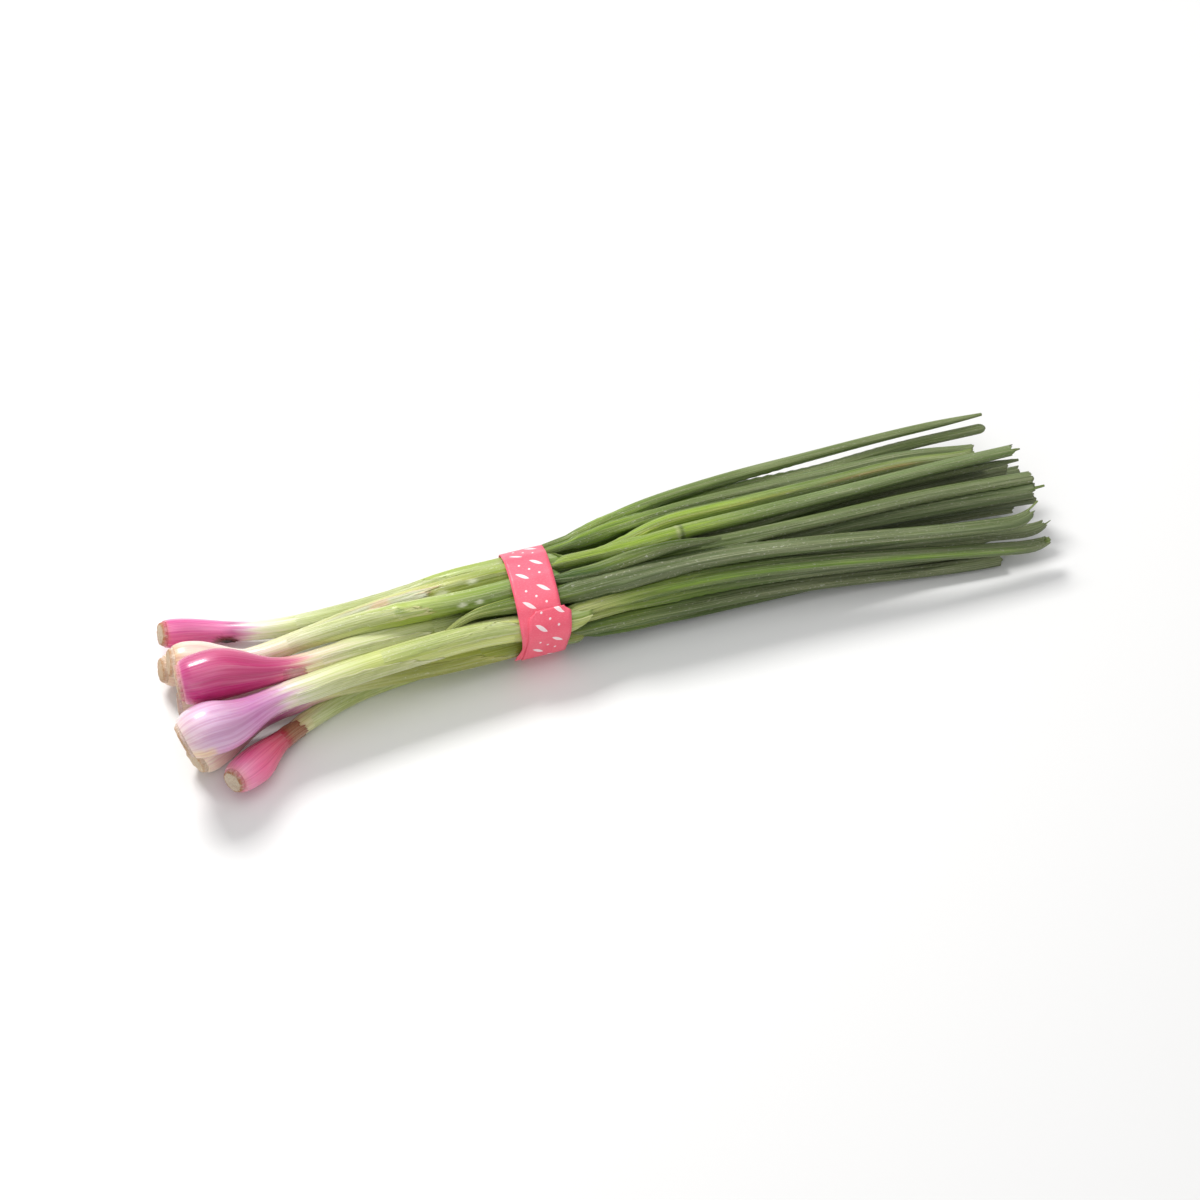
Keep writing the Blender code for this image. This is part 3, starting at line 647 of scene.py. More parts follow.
def plant_material(name, surface_name, neck=None):
    """A plant surface: its tint broken by fibres, veins, broad patches and specks.

    With neck given, the surface passes over into that one along the tint's fourth value.
    """
    material, tree, shader = new_material(name)
    calc, fade, blend = shader_steps(tree)
    looks = SURFACES[surface_name]
    fibres = tree.nodes.new("ShaderNodeGroup")
    fibres.node_tree = fibre_group
    source = add_node(tree, "ShaderNodeAttribute", attribute_name="tint")
    tint, share = source.outputs["Color"], source.outputs["Alpha"]

    def value(key):
        if neck is None:
            return looks[key]
        return fade(share, 0.0, 1.0, looks[key], SURFACES[neck][key])

    def shade(key):
        if neck is None:
            return (*looks[key], 1.0)
        return blend(share, (*looks[key], 1.0), (*SURFACES[neck][key], 1.0))

    fine = fade(fibres.outputs["Fine"], 0.36, 0.64)
    broad = fade(fibres.outputs["Broad"], 0.38, 0.66)
    darker = blend(1.0, tint, shade("dark"), "MULTIPLY")
    dark_share = calc("MULTIPLY", fade(fibres.outputs["Fine"], 0.58, 0.40), value("streak"))
    colour = blend(dark_share, tint, darker)
    patch = calc("MULTIPLY", broad, fade(fibres.outputs["Fine"], 0.35, 0.62, 0.35, 1.0))
    colour = blend(calc("MULTIPLY", patch, value("pale_share")), colour, shade("pale"))
    vein = calc("MULTIPLY", fibres.outputs["Line"], value("vein"))
    colour = blend(vein, colour, darker)
    # Painted highlight: pale lines just beside the veins.
    ridge_highlight = calc("MULTIPLY", value("vein"), 0.55)
    ridge_highlight = calc("MULTIPLY", fibres.outputs["Pale"], ridge_highlight)
    colour = blend(ridge_highlight, colour, blend(0.5, shade("pale"), (0.62, 0.66, 0.40, 1.0)))
    spots = calc("MULTIPLY", fade(fibres.outputs["Speck"], 0.60, 0.70), broad)
    light = blend(0.5, shade("pale"), (0.9, 0.9, 0.8, 1.0))
    colour = blend(calc("MULTIPLY", spots, value("speck")), colour, light)
    tree.links.new(colour, shader.inputs["Base Color"])
    rough = fade(fibres.outputs["Broad"], 0.3, 0.7, looks["gloss"][0], looks["gloss"][1])
    if neck is not None:
        low, high = SURFACES[neck]["gloss"]
        other = fade(fibres.outputs["Broad"], 0.3, 0.7, low, high)
        rough = calc("MULTIPLY_ADD", share, calc("SUBTRACT", other, rough), rough)
    tree.links.new(rough, shader.inputs["Roughness"])
    coat = value("coat")
    if neck is None:
        shader.inputs["Coat Weight"].default_value = coat
    else:
        tree.links.new(coat, shader.inputs["Coat Weight"])
    shader.inputs["Coat Roughness"].default_value = 0.14
    shader.inputs["Subsurface Weight"].default_value = 0.12
    shader.inputs["Subsurface Radius"].default_value = (0.004, 0.003, 0.002)
    shader.inputs["Subsurface Scale"].default_value = 0.5
    height = calc("MULTIPLY_ADD", fibres.outputs["Line"], -0.8, fine)
    roughen(tree, shader, height, looks["bump"], 0.0006)
    return material


skin_material = plant_material("onion_skin", "skin", "sheath")
stem_material = plant_material("stem_sheath", "sheath")
leaf_material = plant_material("leaf_green", "leaf")
plate_material = plant_material("root_plate", "plate")
film_material = plant_material("dry_film", "film")

BULB_END = {n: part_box(f"onion_{n}_bulb")[1][0] for n in PLANTS}
body_grids = {}


def paint_spots(tint, along, angles, radius, n):
    """Colours with a plant's listed spots painted over them."""
    for spot_run, spot_angle, size, colour in BULB_LOOKS[n].get("spots", ()):
        off = wrapped(angles - math.radians(spot_angle))
        away = np.hypot((along - spot_run * MM) / 1.7, radius * off) / (size * MM)
        away = away + 0.22 * wavy(n + 23, 9 * angles, along * 700)
        tint = mix(tint, linear(*colour), 1 - smoothstep(0.6, 1.15, away))
    return tint


def patch_faces(rows, columns):
    """Faces of a thin closed patch: its outer points row by row, then its inner ones."""
    count = rows * columns
    faces = []
    for i in range(rows - 1):
        for j in range(columns - 1):
            a = i * columns + j
            quad = (a, a + 1, a + 1 + columns, a + columns)
            faces += [quad, tuple(count + q for q in quad[::-1])]
    border = list(range(columns)) + [i * columns + columns - 1 for i in range(1, rows)]
    border += [count - 1 - j for j in range(1, columns)]
    border += [i * columns for i in range(rows - 2, 0, -1)]
    return faces + [(b, a, count + a, count + b) for a, b in zip(border, border[1:] + border[:1])]


def make_patch(name, outer, inner, colour, places, material, replaced=()):
    """A thin closed piece between two grids of points."""
    points = np.concatenate([outer.reshape(-1, 3), inner.reshape(-1, 3)])
    colours, marks = (np.tile(values.reshape(-1, 3), (2, 1)) for values in (colour, places))
    make_piece(name, points, patch_faces(*outer.shape[:2]), colours, marks, material, replaced)


def build_body(n):
    """One bulb skin and one stem, lofted along the plant's middle line."""
    line, looks, seed = bodies[n], BULB_LOOKS[n], n
    end = min(line.run[-1], line.run_at_x(PLANTS[n]["mouth"]))
    split = line.run_at_x(BULB_END[n])
    runs = np.concatenate([np.arange(0, split, BULB_STEP), np.arange(split, end - MOUTH_LENGTH, STEM_STEP),
                           np.arange(end - MOUTH_LENGTH, end + 0.0001, MOUTH_STEP)])
    angles = np.linspace(0, 2 * math.pi, BODY_SIDES, endpoint=False)
    around, rows = angles[None, :], runs[:, None]
    radius = line.at(runs)[4][:, None]
    lobes = 1 + 0.014 * wavy(seed, 2 * around, rows * 26) \
        + 0.006 * np.cos(5 * around + seed + rows * 9)
    tip = smoothstep(end - MOUTH_LENGTH, end, runs)[:, None]
    facing = math.radians(looks["mouth"])
    lip = turned_to(around, facing) * looks["slant"] * MM
    lip = lip + LIP_RAGGED * wavy(seed + 40, 5 * around)
    shift = tip * lip
    for swell_run, swell_angle, length, amount in looks.get("swell", ()):
        side = turned_to(around, math.radians(swell_angle))
        lobes = lobes + amount * hump(rows - swell_run * MM, length * MM) * side
    grid = surface(line, runs, angles, radius * lobes, shift)
    most = SNUG_BULB + SNUG_STEM * smoothstep(split - 0.012, split + 0.02, runs)
    own = {("body", n)} | {("leaf", key) for key in leaves if key[0] == n}
    middles = line.at(runs)[0]
    grid, gap = snug(grid, middles, own, most)
    body_grids[n] = (runs, grid)
    along = np.broadcast_to(rows, grid.shape[:2]) + shift
    edge = 0.004 * wavy(seed + 7, 3 * around, along * 18) + 0.0015 * np.cos(9 * around + seed)
    streaky = (0.2 + 1.2 * smoothstep(0.024, 0.046, along)) * smoothstep(0.002, 0.012, along)
    tint = stops_colour(looks["stops"], along + edge * streaky)
    on_bulb = 1 - smoothstep(split - 0.010, split + 0.012, along + 1.5 * edge)
    # Painted light: the upper side of the bulb skin is lightened towards white.
    lit = on_bulb * turned_to(around, 0.15) ** 3
    tint = mix(tint, 1 - (1 - tint) * 0.70, lit * looks.get("lit", 0.12))
    cloudy = 1 + 0.13 * wavy(seed + 9, 2 * around, along * 55)
    cloudy = cloudy + 0.06 * wavy(seed + 19, 9 * around, along * 12)
    # Uneven tone from the cloudy pattern, and painted shade in the creases against neighbouring strands.
    tint = tint * cloudy[..., None] * crease_shade(gap, BODY_CREASE_SHADE)
    near_mouth = smoothstep(end - 0.018, end + 0.002, along)
    tint = mix(tint, linear(*MOUTH_GREEN), 0.7 * near_mouth)
    tint = np.clip(paint_spots(tint, along, around, radius, n), 0.0, 1.0)
    tint = np.concatenate([tint, (1 - on_bulb)[..., None]], axis=-1)
    places = strand_places(runs, angles, seed, shift)
    first = int(np.searchsorted(runs, split))
    parts = ((f"onion_{n}_bulb_skin", 0, first + 1, f"onion_{n}_skin", f"onion_{n}_bulb", False),
             (f"onion_{n}_sheaths", first, len(runs), "stem", f"onion_{n}_stem", True))
    for name, a, b, slot_name, node, open_end in parts:
        rings, tints, marks = list(grid[a:b]), list(tint[a:b]), list(places[a:b])
        sharp = list(range(BODY_SIDES))
        if open_end:
            pale = mix(tints[-1], (*linear(*LIP_GREEN), 1.0), 0.5)
            for depth in (0.0, 0.3, 0.65, 1.0):
                rings.append(surface(line, [runs[-1] - depth * LIP_DEPTH], angles,
                                     np.maximum(radius[-1] * lobes[-1:] - LIP_WALL, 0.001),
                                     shift[-1:] - (0.0002 if depth == 0.0 else 0.0))[0])
                tints.append(pale)
                marks.append(places[-1])
        else:
            sharp += range((b - a - 1) * BODY_SIDES, (b - a) * BODY_SIDES)
        make_tube(name, rings, middles[a], tints, marks, skin_material, [node], sharp)


for n in PLANTS:
    build_body(n)

# Papery skins. The outermost sheaths dry to thin loose films that tear, with tan ragged edges. Each is a
# patch that follows its plant's surface a little above it and lifts at its torn end.
FILM_THICK = 0.00014
FILM_ROWS = 36
FILM_COLUMNS = 20
FILM_SINK = 0.08
FILM_KEYS = ("plant", "run", "angles", "slant", "colour", "edge", "lift", "curl", "tear", "slot")
CLOSE_SHEATH = (0.22, 0.12, 3.5, "stem")
FILMS = {
    "onion_7_loose_sheath": (7, (66, 130), (-12, 88), -14,
                             (222, 222, 190), (206, 160, 104), 0.3, 0.7, 6.0, "stem"),
    "onion_6_neck_scale": (6, (31, 43), (-40, 130), 2,
                           (176, 116, 84), (150, 92, 60), 0.3, 0.4, 2.2, "onion_6_skin"),
    "onion_1_torn_skin": (1, (27, 34), (84, 128), -1,
                          (150, 44, 80), (96, 14, 30), 0.15, 0.5, 2.4, "onion_1_skin"),
    "onion_3_neck_film": (3, (45, 57), (40, 130), 4,
                          (222, 150, 166), (206, 140, 120), 0.15, 0.3, 3.0, "onion_3_skin"),
    "onion_4_split_sheath": (4, (122, 168), (-5, 62), 10,
                             (206, 214, 140), (226, 222, 180), 0.2, 0.4, 5.0, "stem"),
    "onion_2_loose_sheath": (2, (92, 122), (10, 76), 6,
                             (208, 212, 130), (204, 190, 116), 0.2, 0.3, 4.0, "stem"),
    "onion_1_outer_sheath": (1, (60, 138), (-50, 62), 24, (200, 208, 136), (168, 180, 88)),
    "onion_1_inner_sheath": (1, (110, 176), (10, 100), -18, (176, 190, 96), (206, 210, 150)),
    "onion_2_outer_sheath": (2, (52, 112), (-20, 70), 20, (206, 212, 142), (176, 190, 96)),
    "onion_2_inner_sheath": (2, (120, 176), (20, 110), -14, (132, 156, 58), (164, 182, 92)),
    "onion_3_outer_sheath": (3, (62, 126), (20, 120), 16, (196, 198, 140), (226, 222, 184)),
    "onion_3_inner_sheath": (3, (118, 168), (-10, 74), -16, (140, 156, 72), (184, 192, 120)),
    "onion_4_outer_sheath": (4, (52, 118), (40, 128), 22, (214, 216, 152), (232, 228, 190)),
    "onion_4_inner_sheath": (4, (96, 150), (-30, 44), -20, (192, 204, 112), (214, 218, 150)),
    "onion_4_upper_sheath": (4, (160, 205), (40, 120), 14, (196, 206, 114), (220, 220, 156)),
    "onion_5_outer_sheath": (5, (70, 150), (30, 118), 18, (166, 168, 66), (196, 192, 110)),
    "onion_5_inner_sheath": (5, (140, 190), (20, 100), -12, (140, 150, 46), (176, 180, 84)),
    "onion_6_outer_sheath": (6, (46, 96), (0, 100), 10, (190, 200, 120), (222, 222, 170)),
    "onion_7_inner_sheath": (7, (120, 180), (10, 96), 14, (142, 154, 42), (178, 176, 86)),
}


def on_body(n, runs, angles):
    """Points of a plant's surface, and the directions out of it, at runs and angles."""
    marks, grid = body_grids[n]
    turn = 2 * math.pi
    ring = np.clip(np.interp(runs, marks, np.arange(len(marks))), 0, len(marks) - 1.001)
    side = (np.asarray(angles) % turn) / turn * BODY_SIDES
    i, j = ring.astype(int), side.astype(int)
    a, b = (ring - i)[..., None], (side - j)[..., None]
    j, k = j % BODY_SIDES, (j + 1) % BODY_SIDES
    left, right = (grid[i, side] * (1 - a) + grid[i + 1, side] * a for side in (j, k))
    points = left * (1 - b) + right * b
    return points, unit(points - bodies[n].at(np.ravel(runs))[0].reshape(points.shape))


def build_film(name, row):
    """A thin closed patch of dry skin on a plant; a row that lacks the last values is a close sheath."""
    looks = dict(zip(FILM_KEYS, row + CLOSE_SHEATH))
    n, seed = looks["plant"], sum(map(ord, name))
    start, end = (v * MM for v in looks["run"])
    low, high = (math.radians(v) for v in looks["angles"])
    u = np.linspace(0, 1, FILM_ROWS)[:, None]
    v = np.linspace(0, 1, FILM_COLUMNS)[None, :]
    torn = looks["tear"] * MM * (wavy(seed, 9 * v) + 0.5 * wavy(seed + 1, 30 * v))
    torn = torn + looks["slant"] * MM * (v - 0.5)
    narrow = 1 - 0.35 * u ** 3
    side = 0.10 * wavy(seed + 2, 7 * u) * (2 * v - 1)
    angles = (low + high) / 2 + (high - low) / 2 * (2 * v - 1) * narrow + side
    runs = start + (end - start) * u + torn * u ** 1.5
    points, out = on_body(n, runs, angles)
    sides = smoothstep(0.86, 1.0, np.abs(2 * v - 1)) * smoothstep(0.1, 0.4, u)
    rim = np.maximum(smoothstep(0.88, 1.0, u), sides)
    settle = smoothstep(0.0, 0.16, u) * np.ones_like(v)
    wave = 0.5 + 0.5 * wavy(seed + 3, 11 * v + 5 * u)
    lift = (looks["lift"] * settle - FILM_SINK * (1 - settle) + looks["curl"] * rim * wave * settle) * MM
    outer = points + out * lift[..., None]
    inner = outer - out * FILM_THICK
    pattern = 0.5 + 0.5 * wavy(seed + 4, 14 * v, 40 * u)
    fresh = np.array(linear(*looks["colour"]))
    colour = mix(fresh, fresh * 0.72, pattern)
    colour = mix(colour, linear(*looks["edge"]), rim * 0.7)
    below = stops_colour(BULB_LOOKS[n]["stops"], runs)
    colour = mix(below, colour, smoothstep(0.05, 0.55, u + 0.12 * wavy(seed + 6, 12 * v)))
    radius = bodies[n].at(np.ravel(runs))[4].reshape(runs.shape)
    colour = paint_spots(colour, runs, angles, radius, n)
    places = np.stack([np.cos(angles), np.sin(angles), runs + 3.7 * seed % 5], axis=-1)
    material = stem_material if looks["slot"] == "stem" else film_material
    make_patch(name, outer, inner, colour, places, material)


for name, row in FILMS.items():
    build_film(name, row)

# Root plates. The roots were cut off flush, and the plate that carried them is a tan disc, a little
# domed, with rings and small stubs.
PLATE_RINGS = ((0.985, -0.2), (1.0, 0.12), (0.985, 0.36), (0.945, 0.60), (0.88, 0.80), (0.82, 0.86),
               (0.72, 0.83), (0.58, 0.92), (0.44, 0.97), (0.30, 1.0), (0.15, 1.0))
PLATE_LOOKS = {
    1: ((224, 120, 140), (204, 140, 90), (238, 220, 194)),
    2: ((244, 222, 202), (216, 160, 108), (236, 208, 174)),
    3: ((232, 150, 170), (226, 186, 150), (236, 214, 188)),
    4: ((238, 214, 206), (216, 172, 126), (232, 208, 180)),
    5: ((246, 226, 204), (224, 184, 140), (244, 226, 198)),
    6: ((232, 150, 164), (186, 120, 72), (242, 230, 208)),
    7: ((240, 214, 192), (208, 156, 106), (234, 204, 168)),
    8: ((230, 204, 206), (212, 176, 160), (234, 214, 210)),
}


def build_plate(n):
    """A cut root plate at the start of a bulb."""
    line, seed = bodies[n], n
    name = f"onion_{n}_root_plate"
    middles, up, front, ahead, _ = line.at([0.0])
    start, ahead = middles[0], ahead[0]
    shape = corners(name) - start
    depth = shape @ ahead
    across = np.linalg.norm(shape - np.outer(depth, ahead), axis=1)
    thick, radius = -depth.min(), across.max()
    angles = np.linspace(0, 2 * math.pi, BODY_SIDES, endpoint=False)
    rings, tints, marks = [], [], []
    for i, (share, deep) in enumerate(PLATE_RINGS):
        uneven = 1 + 0.05 * wavy(seed + 60 + i // 3, 3 * angles)
        lump = 0.10 * wavy(seed + 80 + i, 7 * angles) if i > 3 else 0.0
        back = -thick * np.minimum(deep + lump, 1.0) + (0.0006 if i == 0 else 0.0)
        ring = (start + np.cos(angles)[:, None] * up * (radius * share * uneven)[:, None]
                + np.sin(angles)[:, None] * front * (radius * share * uneven)[:, None]
                + ahead[None, :] * np.broadcast_to(back, angles.shape)[:, None])
        rings.append(ring)
        shade = 0.5 + 0.5 * wavy(seed + 90 + i, 4 * angles)
        rim, brown, face = (np.array(linear(*c)) for c in PLATE_LOOKS[n])
        core = mix(face, 0.6 * face + 0.4 * brown, shade)
        edge = mix(rim, brown, smoothstep(1.5, 4.0, i + 0.8 * wavy(seed + 95, 5 * angles)))
        tints.append(mix(edge, core, smoothstep(4.4, 6.0, i + 0.5 * wavy(seed + 97, 6 * angles))))
        marks.append(np.column_stack([np.cos(angles) * share * 2, np.sin(angles) * share * 2,
                                      np.full(BODY_SIDES, seed * 3.7 + i * 0.004)]))
    make_tube(f"onion_{n}_cut_roots", rings, rings[0].mean(axis=0), tints, marks, plate_material,
              [name], flip=True, lowest=FLOOR_CLEAR)


for n in PLANTS:
    build_plate(n)

# Leaves. Each is a long hollow tube, dark green with a grey waxy bloom, brighter near its sheath. It is a
# little flattened, with a crease or two, and most ends are cut off and show the hollow inside. The bloom
# lies on the upper side only and is also a painted sheen there; the undersides and the creases between
# strands get painted shade.
LEAF_SIDES = 32
LEAF_STEP = 0.003
LEAF_SKIN = 0.0006
LEAF_TIP = 0.004
LEAF_JAG = 0.010
LEAF_CREASE_SHADE = (0.88, 0.82, 0.90)
UNDER_SHADE = (0.42, 0.26, 0.66)
BLOOM_AND_SHEEN_TINT = (160, 170, 136)
INSIDE_TINT = (150, 170, 96)
SHADED_NEAR_BAND = 0.30
SNUG_LEAF = 0.0006
SNUG_NEAR_BAND = 0.0018
FREE_NEAR_BAND = 0.006
BASE_TINT = (156, 182, 58)
MID_TINT = (112, 140, 44)
LEAF_LOOKS = {
    (1, 1): {"light": 0.34, "far": (122, 138, 72)},
    (1, 2): {"light": 0.30, "far": (114, 132, 58), "end": "round"},
    (1, 3): {"light": 0.26, "far": (108, 126, 60)},
    (2, 1): {"light": -0.02, "far": (114, 132, 66)},
    (2, 2): {"light": -0.08, "far": (102, 130, 34)},
    (2, 3): {"light": -0.04, "far": (92, 110, 52)},
    (3, 1): {"light": -0.1, "far": (104, 126, 46)},
    (3, 2): {"light": -0.15, "far": (94, 108, 54)},
    (3, 3): {"light": -0.12, "far": (92, 108, 46)},
    (3, 4): {"far": (82, 88, 46)},
    (4, 1): {"light": -0.08, "far": (94, 114, 44), "ragged": 2.6, "pale": 0.012},
    (4, 2): {"light": -0.12, "far": (102, 118, 56), "pale": 0.030,
             "stripes": [(0.06, 0.235, 1.0, 0.32, (150, 190, 52)),
                         (0.0, 0.034, 0.5, 0.9, (206, 212, 130))]},
    (4, 3): {"far": (72, 84, 34), "pale": 0.018, "stripes": [(0.0, 0.03, 0.6, 0.9, (190, 202, 100))]},
    (5, 1): {"light": -0.05, "far": (96, 104, 58)},
    (5, 2): {"far": (88, 110, 36)},
    (6, 1): {"far": (90, 100, 54)},
    (6, 2): {"light": -0.15, "far": (76, 90, 38)},
    (7, 1): {"far": (134, 150, 70), "pale": 0.060, "light": 0.34,
             "stripes": [(0.155, 0.205, 0.75, 0.20, (196, 150, 66)),
                         (0.05, 0.14, 0.6, 0.30, (186, 190, 84))]},
    (7, 2): {"light": 0.28, "far": (116, 140, 66), "pale": 0.04, "ragged": 2.4, "node": 0.074},
    (8, 1): {"far": (84, 98, 44)},
    (8, 2): {"far": (82, 100, 38)},
    (8, 3): {"light": -0.12, "far": (90, 108, 42)},
}
POINTED = {(1, 1), (2, 2), (3, 1), (5, 2)}
BRANCHES = {(2, 3), (4, 1), (6, 2), (8, 3)}
BRIGHT_PLANTS = (1, 7)
LEAF_ROOT = 0.016
BRANCH_ROOT = 0.030


def rooted(line, body, mouth_x, branches):
    """A leaf's line carried back into its sheath, where it runs along the stem's own middle line."""
    start = line.points[0]
    back_to = start[0] - BRANCH_ROOT if branches else min(mouth_x, start[0]) - LEAF_ROOT
    xs = np.arange(back_to, start[0] - LEAF_STEP / 2, LEAF_STEP)
    stem, beside = (between(x, body.points[:, 0], body.points) for x in (xs, start[0]))
    keep = smoothstep(back_to, start[0], xs)
    hold = keep if branches else 0.55 + 0.45 * keep
    points = smooth(np.vstack([stem + (start - beside) * hold[:, None], line.points]), 6)
    slim = 0.4 if branches else 0.8
    radii = np.concatenate([line.radii[0] * (slim + (1 - slim) * keep), line.radii])
    run = lengths(points)
    return Line(run, points, smooth(radii, 4)), run[len(xs)]


leaf_ends = {}


def build_leaf(key):
    """One leaf, from inside its sheath to its end."""
    n, m = key
    looks = LEAF_LOOKS[key]
    line, born = rooted(leaves[key], bodies[n], PLANTS[n]["mouth"], key in BRANCHES)
    seed = 10 * n + m
    rnd = random.Random(seed)
    end = line.run[-1]
    runs = np.concatenate([np.arange(0, end - LEAF_TIP, LEAF_STEP),
                           np.arange(end - LEAF_TIP, end + 0.0001, 0.001)])
    if "node" in looks:
        beside = line.run_at_x(looks["node"]) + np.linspace(-0.004, 0.005, 19)
        runs = np.unique(np.concatenate([runs, beside]))
    angles = np.linspace(0, 2 * math.pi, LEAF_SIDES, endpoint=False)
    around, rows = angles[None, :], runs[:, None]
    radius = line.at(runs)[4]
    flat = (0.03 + 0.09 * smoothstep(born, born + 0.12, runs))[:, None]
    turn = rnd.uniform(-0.5, 0.5) + rnd.uniform(-1.5, 1.5) * rows
    form = 1 + flat * np.cos(2 * (around - turn - math.pi / 2))
    form = form + 0.018 * wavy(seed, 2 * around, rows * 20)
    crease = rnd.uniform(-0.2, 1.6)
    folds = [(crease, rnd.uniform(0.08, 0.17), rnd.uniform(0.24, 0.36)),
             (crease + rnd.uniform(0.9, 1.6), rnd.uniform(0.05, 0.12), rnd.uniform(0.22, 0.32)),
             (rnd.uniform(2.6, 4.6), 0.10, 0.4)]
    for place, depth, width in folds:
        winding = rnd.uniform(-1.5, 1.5) * rows + 0.15 * wavy(seed + 31, rows * 30)
        off = wrapped(around - place - winding)
        form = form - depth * hump(off, width) * smoothstep(born, born + 0.05, runs)[:, None]
    if "node" in looks:
        form = form + 0.05 * hump(rows - line.run_at_x(looks["node"]), 0.0009)
    pointed = key in POINTED or looks.get("end") == "round"
    ragged = looks.get("ragged", 1.3) * MM
    slant = rnd.uniform(-2.0, 2.0) * MM
    shift = np.zeros((len(runs), LEAF_SIDES))
    if not pointed:
        tip = smoothstep(end - LEAF_JAG, end, runs)[:, None]
        jag = ragged * wavy(seed + 5, 3.2 * around) + slant * np.cos(around - crease)
        shift = tip * (jag - 0.001)
    middles = line.at(runs)[0]
    leaf_ends[key] = (line, end, float(radius[-1]))
    grid = surface(line, runs, angles, radius[:, None] * form, shift)
    xs = middles[:, 0]
    near_band = (1 - smoothstep(0.03, 0.08, xs)) * smoothstep(0.011, 0.045 if n == 1 else 0.020, xs)
    grid, gap = snug(grid, middles, {("leaf", key), ("body", n)}, SNUG_LEAF + SNUG_NEAR_BAND * near_band,
                     SNUG_FREE + FREE_NEAR_BAND * near_band)
    if looks.get("end") == "round":
        shrink = np.sqrt(np.clip(1 - ((runs - (end - LEAF_TIP)) / 0.0042) ** 2, 0.02, 1.0))
        shrink = np.where(runs > end - LEAF_TIP, shrink, 1.0)
        grid = middles[:, None, :] + (grid - middles[:, None, :]) * shrink[:, None, None]
    along = np.broadcast_to(rows, grid.shape[:2])
    pale = looks.get("pale", 0.0)
    streaky = 0.016 * wavy(seed + 3, 3 * around) + 0.005 * np.cos(7 * around + seed)
    body_runs = np.array([bodies[n].run_at_x(x) for x in xs])
    sheath = stops_colour(BULB_LOOKS[n]["stops"], body_runs)[:, None, :]
    grown = along + streaky - born
    base = mix(linear(*BASE_TINT), linear(*MID_TINT), smoothstep(-0.01 + pale, 0.05 + pale, grown))
    green = mix(base, linear(*looks["far"]), smoothstep(0.01 + pale, 0.10 + pale, grown))
    shade = 1 + looks.get("light", 0.0) + 0.10 * wavy(seed + 11, 2 * around, along * 9)
    deep = 0.0 if n in BRIGHT_PLANTS else SHADED_NEAR_BAND
    shade = shade * (1 - deep * (1 - smoothstep(0.06, 0.13, xs))[:, None])
    # Partly the leaf's own grey waxy bloom, partly painted light: a pale grey sheen laid on the upper side
    # only.
    upper = turned_to(around, 0.5) ** 2
    upper = upper * smoothstep(born + 0.02, born + 0.12, runs)[:, None]
    bloom_and_sheen = upper * (0.46 + 0.20 * wavy(seed + 13, 3 * around, along * 26))
    green = mix(green * shade[..., None], linear(*BLOOM_AND_SHEEN_TINT), bloom_and_sheen)
    # Painted shade: the underside of each leaf is darkened, more in red and blue than in green.
    under = smoothstep(0.7, 1.9, np.abs(wrapped(angles - 0.4)))[None, :, None]
    # Painted shade in the creases against neighbouring strands.
    green = green * (1 - under * np.array(UNDER_SHADE)) * crease_shade(gap, LEAF_CREASE_SHADE)
    tint = mix(sheath, green, smoothstep(-0.012, 0.014, grown))
    for from_x, to_x, angle, width, colour in looks.get("stripes", ()):
        off = wrapped(around - angle)
        here = hump(off, width) * smoothstep(from_x - 0.01, from_x + 0.01, xs[:, None])
        here = here * (1 - smoothstep(to_x - 0.01, to_x + 0.01, xs[:, None]))
        here = here * (0.8 + 0.2 * wavy(seed + 41, along * 90))
        tint = mix(tint, linear(*colour), np.clip(here, 0, 1) * 0.9)
    if "node" in looks:
        past = xs[:, None] - looks["node"]
        tint = mix(tint, linear(214, 218, 164), hump(past, 0.0011) * 0.75)
        tint = mix(tint, linear(40, 56, 20), hump(past - 0.002, 0.0010) * 0.6)
    tint = np.clip(tint, 0.0, 1.0)
    places = strand_places(runs, angles, seed, shift)
    rings, tints, marks = list(grid), list(tint), list(places)
    if not pointed:
        for depth in (0.0003, 0.004, 0.008):
            thin = np.maximum(radius[-1] * form[-1:] - LEAF_SKIN, 0.0005)
            inner = surface(line, [end - depth], angles, thin, shift[-1:])[0]
            inner[:, 2] = np.maximum(inner[:, 2], FLOOR_CLEAR + LEAF_SKIN)
            rings.append(inner)
            tints.append(mix(tint[-1], linear(*INSIDE_TINT), 0.7))
            marks.append(places[-1])
    make_tube(f"onion_{n}_green_leaf_{m}", rings, middles[0], tints, marks, leaf_material,
              [f"onion_{n}_leaf_{m}"])


for key in leaves:
    build_leaf(key)

# Torn strips. Where a leaf wasn't cut cleanly, a narrow strip of its green skin is left standing past the
# cut, bent a little in or out. Each is a thin closed patch that follows its leaf's line.
STRIP_ROWS = 16
STRIP_COLUMNS = 6
STRIP_THICK = 0.0005
STRIP_INSET = 0.0002
STRIPS = {
    "onion_4_torn_strip": {"leaf": (4, 1), "angles": (-50, -14), "run": (-7, 6.0), "bend": 0.0010},
    "onion_7_split_strip": {"leaf": (7, 2), "angles": (20, 62), "run": (-5, 3.0), "bend": -0.0006},
    "onion_2_torn_strip": {"leaf": (2, 3), "angles": (-10, 24), "run": (-5, 4.0), "bend": 0.0008},
    "onion_3_torn_strip": {"leaf": (3, 3), "angles": (30, 66), "run": (-5, 2.5), "bend": -0.0006},
}


